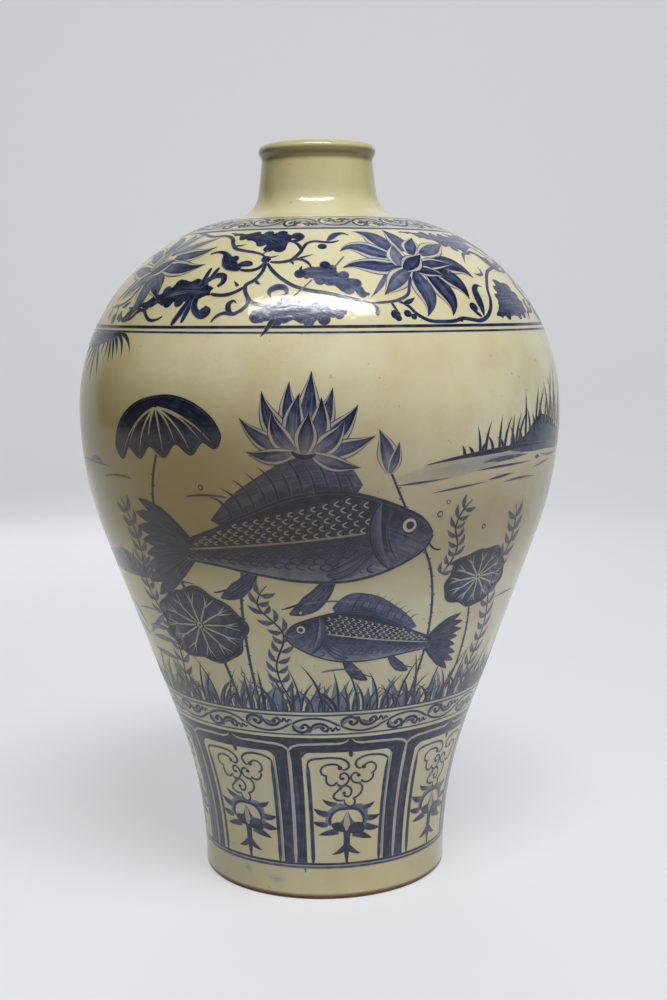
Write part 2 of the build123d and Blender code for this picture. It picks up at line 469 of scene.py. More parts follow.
def dot(angle, rise, width, load):
    """A round dab of the brush, a little darker towards its edge."""
    turn = np.linspace(0, 2 * pi, 19 if width < 3 else 29)[:, None]
    share = np.array([0.01, 0.6, 0.86, 1])
    spread = rise + width / 2 * share * np.sin(turn)
    around = angle + np.degrees(width / 2 * share * np.cos(turn) / wall_radius(rise))
    dabbed = load * np.array([1.0, 0.96, 1.03, 0.7]) + 0 * turn
    lay(around, spread, dabbed, width * turn + 0 * share, width / 2 * share + 0 * turn)


def fill(left_edge, right_edge, load, fade=1.0):
    """A wash between two edges: its load from the left to the right edge, and its share at the start."""
    longest = max(smooth_path(edge, 1.0)[2][-1] for edge in (left_edge, right_edge))
    rows = max(4, ceil(longest / WASH_STEP))
    edges = []
    for edge in (left_edge, right_edge):
        line, _, distance = smooth_path(edge, 0.4)
        even = np.linspace(0, distance[-1], rows + 1)
        edges.append(np.stack([np.interp(even, distance, part) for part in line.T], axis=1))
    left, right = edges
    level = np.radians(left[:, 0] - right[:, 0]) * wall_radius(left[:, 1])
    apart = np.hypot(level, left[:, 1] - right[:, 1])
    share = np.linspace(0, 1, max(2, ceil(apart.max() / WIDEST)) + 1)
    angle = left[:, :1] + (right[:, :1] - left[:, :1]) * share
    rise = left[:, 1:] + (right[:, 1:] - left[:, 1:]) * share
    drawn = loads_along(load, share) * np.linspace(fade, 1, rows + 1)[:, None]
    lay(angle, rise, drawn, np.linspace(0, longest, rows + 1)[:, None] + 0 * share, apart[:, None] * share)


def ring(low, high, load, sag=0.0):
    """A band of pigment all round between two distances up the wall, which sags by some mm on the right."""
    angle = np.linspace(-180, 180, 361)[:, None]
    soft = 0.2 * (high - low)
    parts = max(1, ceil((high - low) / WIDEST))
    rise = np.concatenate([[low], np.linspace(low + soft, high - soft, parts + 1), [high]])
    loads = np.full(len(rise), load)
    loads[[0, -1]] *= 0.2
    waver = 0.12 * np.sin(np.radians(angle * 3 + 7 * low))
    rise = rise[None, :] + waver - sag * np.cos(np.radians(angle - 30))
    lay(angle + 0 * rise, rise, loads + 0 * rise, np.radians(angle + 0 * rise) * wall_radius(rise), rise)


def painted(name):
    """Makes the strokes laid so far one piece of cobalt painting, and starts a new one."""
    points, faces, loads, brushed = [], [], [], []
    first = 0
    for number, (grid, load, along, across, outward) in enumerate(paint["grids"]):
        rows, columns = load.shape
        points.append(grid.reshape(-1, 3))
        loads.append(load.ravel())
        shifted = across + STREAK_SHIFT * (number % STREAK_ROUND)
        brushed.append(np.stack([along.ravel(), shifted.ravel()], axis=1) / BRUSH_UV)
        corner = first + np.arange(rows * columns).reshape(rows, columns)
        quads = [corner[:-1, :-1], corner[1:, :-1], corner[1:, 1:], corner[:-1, 1:]]
        faces.append(np.stack(quads if outward else quads[::-1], axis=-1).reshape(-1, 4))
        first += rows * columns
    mesh = bpy.data.meshes.new(name)
    mesh.from_pydata(np.concatenate(points).tolist(), [], np.concatenate(faces).tolist())
    mesh.attributes.new("load", "FLOAT", "POINT").data.foreach_set("value", np.concatenate(loads))
    corners = np.empty(len(mesh.loops), int)
    mesh.loops.foreach_get("vertex_index", corners)
    mesh.uv_layers.new(name="brush").data.foreach_set("uv", np.concatenate(brushed)[corners].ravel())
    mesh.shade_smooth()
    piece = bpy.data.objects.new(name, mesh)
    scene.collection.objects.link(piece)
    mesh.materials.append(cobalt_painting)
    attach(piece, "root")
    paint["layer"], paint["grids"] = 0, []


# Cobalt under glaze: ground oxide brushed on in water, so it streaks along the stroke and heaps in spots.
# The ivory shows through it by its load, as through a dye, and the same glass lies over it.
HEAP_SIZE = 0.0045
LET_THROUGH = (0.016, 0.026, 0.116)  # red, green and blue that a full load lets through
cobalt_painting, tree = bare_material("cobalt_under_glaze")
ground, wavy, here = ivory_ground(tree)
laid = add_node(tree, "ShaderNodeAttribute", {}, attribute_name="load")
stroke_way = add_node(tree, "ShaderNodeUVMap", {}, uv_map="brush")
hairs = add_node(
    tree,
    "ShaderNodeMapping",
    {"Vector": (stroke_way, 0), "Scale": (BRUSH_UV / HAIR_RUN, BRUSH_UV / HAIR_WIDTH, 1)},
)
streak = add_node(tree, "ShaderNodeTexNoise", {"Vector": (hairs, 0), "Scale": 1.0, "Detail": 3.0})
heap = add_node(tree, "ShaderNodeTexNoise", {"Vector": here, "Scale": 1 / HEAP_SIZE, "Detail": 3.0})
streak_share = add_node(tree, "ShaderNodeMapRange", {0: (streak, "Fac"), 1: 0.3, 2: 0.7, 3: 0.68, 4: 1.2})
heap_share = add_node(tree, "ShaderNodeMapRange", {0: (heap, "Fac"), 1: 0.35, 2: 0.7, 3: 0.85, 4: 1.25})
uneven = add_node(tree, "ShaderNodeMath", {0: (streak_share, 0), 1: (heap_share, 0)}, operation="MULTIPLY")
dose = add_node(tree, "ShaderNodeMath", {0: (laid, "Fac"), 1: (uneven, 0)}, operation="MULTIPLY")
thickened = add_node(tree, "ShaderNodeMath", {0: (dose, 0), 1: 1.4}, operation="POWER")
through = [
    add_node(tree, "ShaderNodeMath", {0: clear, 1: (strength, 0)}, operation="POWER")
    for clear, strength in zip(LET_THROUGH, (dose, dose, thickened))
]
dye = add_node(tree, "ShaderNodeCombineColor", {i: (channel, 0) for i, channel in enumerate(through)})
tinted = add_node(
    tree,
    "ShaderNodeMix",
    {0: 1.0, 6: ground, 7: (dye, 0)},
    data_type="RGBA",
    blend_type="MULTIPLY",
)
glass = add_node(
    tree,
    "ShaderNodeBsdfPrincipled",
    {"Base Color": (tinted, 2), "Normal": wavy, "Coat Normal": wavy, **GLASS},
)
add_node(tree, "ShaderNodeOutputMaterial", {0: (glass, 0)})

for low, high, load, sag in (
    (17.2, 19.4, 0.2, 0),
    (17.4, 18.8, 0.6, 0),
    (19.3, 20.7, 0.95, 0),
    (97.4, 98.5, 0.75, 0),
    (109.0, 110.3, 0.6, 0),
    (111.4, 112.6, 0.8, 0),
    (312.6, 313.8, 0.75, 1.7),
    (314.9, 316.6, 1.0, 1.3),
    (383.0, 384.8, 0.9, 0),
    (401.8, 403.4, 0.5, 0),
):
    ring(low, high, load, sag)
for path, width, load in (
    (((-39, 14.0), (-37, 13.2), (-34.5, 13.4)), 4.2, (0.05, 0.16, 0.05)),
    (((-27, 11.4), (-22, 10.4), (-17, 11.0)), 6.0, (0.03, 0.09, 0.03)),
    (((-8.6, 18.0), (-8.3, 16.4), (-8.5, 15.0)), 1.8, (0.7, 0.5, 0.2)),
):
    brush(path, width, load, DROP, SMUDGE)
painted("cobalt_rings")

# Lower scroll: a running classic scroll between the picture and the panels, drawn with a fine brush.
# Each half turn has a spiral with a dark eye, a smaller curl and a few ticks, and the next is upside down.
# Its points are shares of a half turn and of the band's height, and its widths are shares of the line's.
ARCH = (
    ((0.0, 0.45), (0.03, 0.6), (0.12, 0.73), (0.32, 0.86))
    + ((0.56, 0.86), (0.76, 0.72), (0.9, 0.52), (1, 0.4))
)
SPIRAL = ((0.0, 0.47), (0.03, 0.22), (0.15, 0.08), (0.28, 0.15), (0.33, 0.36), (0.26, 0.52), (0.18, 0.48))
CURL = ((0.35, 0.05), (0.39, 0.36), (0.5, 0.56), (0.65, 0.52), (0.73, 0.3), (0.67, 0.15), (0.6, 0.22))
TICKS = ((0.7, 0.06), (0.78, 0.33), (0.82, 0.14), (0.89, 0.34), (0.93, 0.2), (0.99, 0.3))


def running_scroll(start, halves, low, high, width, loops=0):
    """Draws the scroll all round: its start, half turns, band, line width and the size of its bare loops."""
    spread = 360 / halves
    for half in range(halves):
        paint["layer"] = 1

        def spot(x, y):
            share = 1 - y if half % 2 else y
            return (start + spread * (half + x), low + (high - low) * share)

        def curve(points, wide, load, shape=LINE, cross=SOFT):
            brush([spot(*p) for p in points], wide * width, load, shape, cross)

        if loops:
            dot(*spot(0.17, 0.32), loops, 0.02)
            dot(*spot(0.57, 0.32), 0.9 * loops, 0.02)
        else:
            curve(((0.05, 0.5), (0.07, 0.26), (0.2, 0.16)), 3.0, (0.4, 0.3, 0.2), LEAF, WASH)
            curve(((0.36, 0.16), (0.44, 0.4), (0.6, 0.5), (0.74, 0.38)), 2.6, (0.35, 0.3), LEAF, WASH)
        curve(ARCH, 1.0, (1.1, 0.9, 1.05))
        curve(SPIRAL, 1.2, (1.1, 1.15, 1.05))
        curve(CURL, 1.1, (1.1, 0.95, 1.1))
        curve(TICKS, 0.9, (0.95, 1.05, 0.85))
        curve(((0.3, 0.04), (0.34, 0.2), (0.36, 0.04)), 1.8, 0.85, LEAF)
        dot(*spot(0.19, 0.37), 1.9 * width, 1.05)
        dot(*spot(0.61, 0.31), 1.8 * width, 1.0)
        curve(((0.56, 0.36), (0.48, 0.34), (0.44, 0.24)), 0.9, (0.8, 0.4))


ring(98.3, 109.2, 0.06)
running_scroll(-9.9, 22, 98.4, 109.2, 1.4)
painted("cobalt_lower_scroll")

# Neck scroll: the same scroll, drawn larger round the crown between two ring lines. Its ground is a pale
# wash, and a bare loop of ivory is left under each spiral and each curl.
ring(384.8, 401.8, 0.2)
running_scroll(-14.0, 24, 386.0, 400.8, 1.5, 8.4)
painted("cobalt_neck_scroll")

# Lappet panels: eight upright false panels round the foot, each a broad dark frame with a pale rim, and in
# it a hanging cloud scroll over a lotus on its stalk. Broad brush for the frames, fine brush inside.
PANELS = 8
FIRST_PANEL = 10  # degrees
HORN = ((0, 0.95), (0.3, 1), (0.6, 0.78), (0.85, 0.36), (1, 0.03))


def turned(points, turn):
    """The points moved round the vase by an angle."""
    return [(a + turn, m) for a, m in points]


def lappet(centre):
    """Draws one panel about its middle angle."""

    def line(points, width, load, shape=LINE, cross=SOFT):
        brush(turned(points, centre), width, load, shape, cross)

    def plain(left, right, load, fade=1.0):
        fill(turned(left, centre), turned(right, centre), load, fade)

    paint["layer"] = 0
    plain([(-22.5, 86.4), (22.5, 86.4)], [(-22.5, 95.7), (22.5, 95.7)], (1.08, 0.98, 1.12))
    plain([(-22.5, 20.2), (-22.5, 87.0)], [(-17.4, 20.2), (-17.8, 87.0)], (0.98, 1.02, 1.15), 0.75)
    plain([(17.2, 20.2), (16.9, 87.0)], [(22.5, 20.2), (22.5, 87.0)], (1.15, 1.0, 0.98), 0.75)
    line([(-18.2, 82.0), (-17.4, 85.2), (-14.5, 86.6)], 2.0, 0.9, LEAF)
    line([(17.3, 82.0), (16.4, 85.4), (13.5, 86.6)], 2.0, 0.9, LEAF)
    for hand in (-1, 1):
        for rim, width, shape in (
            (((22.4, 87.6), (21.2, 89.7), (19.0, 91.0), (14, 91.7), (4.6, 92.0)), 1.4, LINE),
            (((5.4, 92.0), (2.8, 92.4), (1.4, 93.3), (0.6, 94.9)), 1.4, BLADE),
            (((22.5, 20.4), (22.5, 60), (22.4, 88.0)), 1.7, LINE),
        ):
            line([(hand * x, m) for x, m in rim], width, 0.1, shape)
    line([(0.1, 88.0), (0.4, 85.6), (0.7, 83.2)], 2.6, 0.98, DROP)
    line([(-14.7, 20.4), (-15.1, 50), (-15.8, 79.6)], 2.3, (0.7, 0.8, 0.9))
    line([(15.2, 20.4), (15.2, 50), (15.4, 80.2)], 2.1, (0.8, 0.88, 0.9))
    line([(16.5, 20.6), (16.4, 50), (16.3, 84.0)], 0.9, 0.22)
    frame_left = [
        (-15.8, 79.2), (-15, 81.4), (-13.1, 82.5), (-10.4, 82.9), (-7.7, 83.2), (-5, 82.9), (-2.7, 82.2),
    ]
    line(
        frame_left + [(-0.8, 80.2), (0, 77.9), (-0.6, 76), (-1.9, 75.4), (-3.1, 76.4)], 1.4, (0.9, 0.82, 0.9),
    )
    frame_right = [(15.6, 80.2), (14.2, 81.8), (11.9, 83.2), (9.6, 83.7), (7.3, 83.7), (5, 82.9), (3.3, 81.4)]
    line(frame_right + [(2.5, 79.5), (2.9, 77.5), (4, 76), (5.4, 76.4)], 1.4, (0.92, 0.8, 0.9))
    left_cloud = [
        (-3.5, 77.0), (-4.2, 78.3), (-5.8, 79.1), (-8.1, 78.9), (-9.8, 77.9), (-10.8, 75.6), (-10.4, 73.3),
    ]
    line(left_cloud + [(-9.4, 72.3), (-8.1, 72.2)], 1.25, (0.9, 0.72, 0.8))
    left_lobe = [
        (-8.6, 71.8), (-8.8, 69.8), (-8.3, 67.5), (-7.1, 66.2), (-5.8, 66.2), (-4.8, 67.5), (-4, 68.3),
    ]
    line(left_lobe, 1.25, (0.8, 0.7))
    left_curl = [
        (-4.6, 67.0), (-2.3, 65.6), (-0.8, 66.8), (0.2, 69.5), (-0.4, 72.2), (-1.7, 73.6), (-2.9, 72.9),
    ]
    line(left_curl + [(-3.3, 71), (-2.7, 69.6), (-1.9, 69.9)], 1.25, (0.75, 0.7, 0.9))
    right_cloud = [
        (5.8, 77.0), (6.7, 78.3), (8.1, 79.1), (9.8, 78.3), (10.8, 76), (10.6, 73.7), (9.6, 72.5),
        (8.9, 71.8),
    ]
    line(right_cloud, 1.25, (0.9, 0.7, 0.82))
    right_lobe = [(10, 72.0), (9.8, 69.5), (8.8, 67.9), (7.3, 67.2), (5.8, 67.9), (5.2, 69.0)]
    line(right_lobe, 1.25, (0.7, 0.85))
    right_curl = [(5.4, 67.4), (3.1, 67.2), (1.5, 68.7), (1, 70.6), (1.5, 72.5), (2.7, 73.3), (3.9, 72.8)]
    line(right_curl, 1.25, (0.75, 0.7, 0.85))
    low_right = [
        (4.2, 66.8), (5.6, 65.2), (5.8, 62.5), (5, 60.2), (3.7, 58.7), (2.5, 57.9), (3.1, 56.4), (2.9, 54.5),
    ]
    line(low_right + [(1.5, 53.1), (0, 53.7), (-1.2, 55.6), (-1.3, 57.5)], 1.25, (0.72, 0.7, 0.9, 0.72))
    low_left = [(-3.1, 65.2), (-4, 62.9), (-5.4, 61), (-5.8, 59.1), (-4.6, 57.5), (-3.1, 56.9), (-1.5, 57.2)]
    line(low_left, 1.25, (0.6, 0.8, 0.72))
    middle_curl = [
        (-2.9, 62.9), (-2.3, 65), (-0.4, 65.6), (1.2, 63.7), (1.3, 60.6), (0.2, 59.1), (-1.2, 59.6),
    ]
    line(middle_curl + [(-1.7, 61.2)], 1.2, (0.6, 0.66, 0.85))
    for x, m, size in (
        (-3.5, 76.7, 2.5), (5.8, 76.7, 2.5), (4, 71.7, 2.2), (-2.1, 70.1, 1.7), (0.6, 70.2, 1.8),
        (-1.5, 61.3, 2.0),
    ):
        dot(centre + x, m, size, 0.98)
    paint["layer"] = 0
    ring_left = [(-9, 42.2), (-9.2, 46), (-8.5, 49.8), (-6.5, 52.9), (-4.4, 55.0), (-1.4, 54.6), (0, 53.0)]
    plain(
        ring_left,
        [(-6.6, 42.2), (-7.3, 46), (-6.5, 48.7), (-5, 50.6), (-2.7, 51.8), (-1.2, 51.9), (0, 51.8)],
        (0.3, 0.42),
    )
    ring_right = [(8.8, 42.2), (9.2, 46.8), (8.5, 51.2), (6, 54.2), (3.4, 54.2), (1.6, 53.2), (0, 53.0)]
    plain(
        ring_right, [(6.8, 42.2), (7.3, 46), (6.5, 48.4), (5, 50.6), (2.7, 51.8), (1.2, 51.9), (0, 51.8)],
        (0.32, 0.42),
    )
    leaves = (
        ((-4.4, 54.2), (-7.4, 55.2), (-10.3, 58.0), 3.2),
        ((-7.6, 48.8), (-10.8, 49.6), (-14.1, 52.5), 4.0),
        ((-8.2, 42.8), (-11.2, 43.0), (-15.0, 44.8), 3.6),
        ((-3.6, 38.8), (-7.8, 38.0), (-12.2, 36.8), 4.0),
        ((6.2, 51.8), (9.2, 52.3), (11.7, 54.8), 3.3),
        ((8.2, 46.0), (11.4, 45.2), (14.8, 46.7), 4.0),
        ((7.4, 41.4), (10.8, 39.5), (15.0, 39.2), 4.4),
        ((2.6, 37.4), (7.4, 35.4), (11.6, 33.2), 4.4),
    )
    for root, bend, tip, wide in leaves:
        line([root, bend, tip], wide, (0.4, 0.75, 0.95, 1.0), HORN)
    arch = [
        (-6.9, 42.8), (-7.3, 46), (-6.5, 48.7), (-5, 50.6), (-2.7, 51.8), (0, 52.0), (2.7, 51.8), (5, 50.6),
        (6.5, 48.4),
    ]
    line(arch + [(7.3, 46), (7.0, 42.8)], 1.9, (0.9, 0.85, 0.9))
    plain(
        [(0, 50.8), (-1.1, 47.6), (-2.3, 44.6), (-6.3, 42.6)],
        [(0, 50.8), (-0.6, 47), (-1.2, 43.5), (-1.4, 40)], (0.55, 0.5),
    )
    plain(
        [(0, 50.8), (0.6, 47), (1.2, 43.5), (1.6, 40)], [(0, 50.8), (1.3, 47.6), (2.8, 44.4), (7.0, 42.2)],
        (0.5, 0.62),
    )
    cup_top = [(-6.6, 43.2), (-2.4, 43.6), (-1.2, 41.6), (1.2, 41.6), (3, 43.2), (7.4, 42.6)]
    cup_low = [(-6.6, 41.8), (-4, 38.9), (-1.6, 38.2), (1.8, 37.2), (5, 36.8), (8, 38)]
    plain(cup_top, cup_low, (0.92, 0.85, 0.98))
    line([(-0.05, 38.8), (-0.1, 44), (0, 49.2)], 2.7, (0.16, 0.08, 0.12), DROP)
    stalk_left = [(-1.7, 39.4), (-1.3, 35), (-1.4, 30), (-1.0, 26), (-0.3, 20.4)]
    stalk_right = [(1.9, 38.6), (1.5, 35), (1.5, 30), (1.1, 26), (0.7, 20.4)]
    plain(stalk_left, stalk_right, (0.95, 0.85, 0.95))
    line([(0.2, 30.4), (-2.6, 27.4), (-6.5, 25.5)], 3.4, (0.92, 0.88), BLADE, WASH)
    line([(0.0, 30.4), (2.8, 27.2), (6.5, 25.2)], 3.4, (0.92, 0.88), BLADE, WASH)


for number in range(PANELS):
    lappet(FIRST_PANEL + 360 / PANELS * number)
painted("cobalt_lappets")

# Lotus scroll on the shoulder: four open lotus flowers joined by a running vine with lobed leaves, buds and
# thorns. Petals are dark washes with a bare rim left round each, and leaves are loaded dark and streaky.
STEM = ((0, 0.6), (0.1, 0.9), (0.5, 1), (0.85, 0.85), (1, 0.45))
PETAL = (
    ((0, 0.4), (0.15, 0.75), (0.32, 0.98), (0.44, 1), (0.58, 0.86))
    + ((0.72, 0.58), (0.85, 0.3), (0.94, 0.13), (1, 0.02))
)
HALF_RIM = ((0.57, 1.2), (0.65, 0.1), (0.87, 0.12), (0.93, 1.1), (1, 0.7))
BARE_RIM = tuple((-v, share) for v, share in HALF_RIM[::-1]) + ((0, 0.82),) + HALF_RIM
ONE_RIM = (
    ((-1, 0.7), (-0.93, 1.1), (-0.87, 0.12), (-0.63, 0.1))
    + ((-0.55, 1.2), (0.3, 0.82), (0.9, 1.1), (1, 0.6))
)
OTHER_RIM = tuple((-v, share) for v, share in ONE_RIM[::-1])
LEFT_PETALS = (
    ([(27.5, 361), (27.2, 372.2), (25.4, 382.4)], 9.0, 0.6, OTHER_RIM),
    ([(22.8, 362), (20.7, 369.2), (18, 376), (13.2, 379.8)], 10.5, 0.62, OTHER_RIM),
    ([(22.5, 357), (17.5, 360.6), (13.5, 364.3), (9.6, 364.4), (7, 361)], 11.5, 0.68, BARE_RIM),
    ([(24, 350.4), (18.5, 349.6), (13.5, 351), (9.8, 350.9), (7, 348.6)], 10.5, 0.78, BARE_RIM),
    ([(18.4, 344.6), (16.6, 338.5), (13, 330.2)], 2.8, 0.5, SOFT),
)
FRONT_PETALS = (
    ([(27, 346), (27.2, 339), (28, 332), (27.8, 325.4), (26.4, 319.6)], 10.5, 0.72, ONE_RIM),
    ([(25.8, 347.6), (22.1, 342.2), (18.9, 336), (16.6, 331.6)], 11.0, 0.58, BARE_RIM),
    ([(23.5, 350.2), (24.0, 358.4), (24.8, 366.8)], 10.0, 0.42, BARE_RIM),
    ([(24.6, 347.6), (28.2, 352.9), (32.5, 358.6)], 10.5, 1.0, BARE_RIM),
)
NEAR_LOTUS = LEFT_PETALS + (
    ([(29.2, 358.6), (30.8, 364.6), (33, 369.8), (34.8, 373.6)], 9.5, 0.72, BARE_RIM),
    ([(32.6, 358.8), (37.1, 362.2), (41.6, 365.7), (46.2, 368.6)], 11.0, 0.52, BARE_RIM),
    ([(34.5, 350.6), (40.7, 351.2), (44.8, 348), (47.2, 342.3)], 12.0, 0.85, ONE_RIM),
    ([(34, 347.4), (37.1, 343), (39.7, 337.6), (40.8, 329)], 10.5, 0.98, ONE_RIM),
    ([(31, 344.4), (32.8, 337), (34.2, 330.6), (34.4, 325.2), (33.4, 319.6)], 10.5, 0.98, ONE_RIM),
    ([(29.4, 350.4), (35.7, 352), (41.8, 351.4)], 8.0, 0.9, BARE_RIM),
    ([(27.2, 347.2), (32.1, 346.4), (36.4, 343.2)], 7.0, 1.0, BARE_RIM),
) + FRONT_PETALS
FAR_LOTUS = LEFT_PETALS + (
    ([(25.5, 364), (29, 374.5), (33, 382.2)], 8.0, 0.42, BARE_RIM),
    ([(28.6, 362.8), (36.2, 369.4), (43.6, 376.2)], 7.5, 0.5, BARE_RIM),
    ([(30.6, 359.6), (37.1, 360.6), (41.6, 362.4), (46, 367.4)], 9.5, 0.72, BARE_RIM),
    ([(28.4, 352.2), (35.3, 351.2), (40.7, 350.6), (46.6, 353.4)], 11.0, 0.9, BARE_RIM),
    ([(27.4, 347.4), (31.2, 340.6), (35.4, 331.2)], 11.0, 0.75, ONE_RIM),
) + FRONT_PETALS


def vine(turn, points, width=1.9, load=(0.95, 0.85), shape=STEM):
    """Draws a stem, a thorn or a tendril of the vine."""
    brush(turned(points, turn), 1.22 * width, load, shape)


def lotus_flower(turn, petals):
    """Draws one open lotus with the buds at its stalk, turned round the vase by an angle."""
    paint["layer"] = 0
    for path, width, load, rim in petals:
        loads = [load * share for share in (1.05, 0.8, 0.9, 1.25)]
        brush(turned(path, turn), 1.12 * width, loads, PETAL, rim)
    vine(
        turn, [(25.2, 343), (24.1, 338.2), (22.8, 332.2), (19.8, 328.7), (16.2, 327.5), (13, 327.2)], 1.5,
        (0.8, 0.7, 0.6),
    )
    paint["layer"] = 0
    for a, m, size in ((18.4, 320.8, 5.0), (18.9, 318.9, 3.6), (21.4, 321.2, 4.0), (22.8, 319.5, 3.2)):
        dot(a + turn, m, size, 1.0)
    vine(turn, [(18, 327.4), (18.4, 325), (19.1, 322)], 1.3, 0.9)
    vine(turn, [(20.6, 326.6), (22, 327.4), (24.4, 330.2)], 2.4, 0.95, LEAF)
    vine(turn, [(13, 326.8), (14.1, 324.5), (14, 320.8), (15, 323.7)], 1.8, 0.5, LEAF)


def lobed_leaf(turn, top, bottom, lobe, load):
    """Washes a leaf between its top and bottom edge, both cut into uneven round lobes of about so many mm."""
    rows = np.linspace(0, 1, 61)
    plain, cut, dabs = [], [], []
    for edge, hand in ((top, 1), (bottom, -1)):
        line, side, distance = smooth_path(turned(edge, turn), 0.4)
        part_way = distance / distance[-1]
        phase = pi * distance / lobe + 0.8 * np.sin(2.1 * distance / lobe + hand)
        swell = np.interp(part_way, (0, 0.25, 0.8, 1), (0.1, 0.8, 1, 0.5))
        uneven = 0.8 + 0.3 * np.sin(0.9 * distance + hand)
        bulge = 0.3 * lobe * swell * np.abs(np.sin(phase)) ** 0.6 * uneven
        for lines, shape in ((plain, line), (cut, line + hand * side * bulge[:, None])):
            lines.append(np.stack([np.interp(rows, part_way, part) for part in shape.T], axis=1))
        for k in np.searchsorted(phase, np.arange(pi / 2, phase[-1] - 0.3, pi)):
            dabs.append((2 - hand, line[k] + 0.1 * hand * lobe * swell[k] * side[k], 0.62 * lobe * swell[k]))
    share = np.linspace(0, 1, 9)[:, None]
    near = np.clip(1 - 4 * share, 0, 1)
    flat = plain[0][:, None] + (plain[1] - plain[0])[:, None] * share
    lobed = flat + (cut[0] - plain[0])[:, None] * near + (cut[1] - plain[1])[:, None] * near[::-1]
    tone = load * np.array([0.85, 1.1, 1.0, 0.85, 0.95, 0.88, 0.95, 1.12, 0.85]) + 0 * rows[:, None]
    next_layer = max(paint["layer"], 5)
    paint["layer"] = 0
    lay(lobed[..., 0], lobed[..., 1], tone, 45 * rows[:, None] + 0 * tone, flat[..., 1])
    for number, (layer, middle, width) in enumerate(dabs):
        paint["layer"] = layer + number % 2
        dot(*middle, width, load * (1.12 if number % 2 else 0.9))
    paint["layer"] = next_layer


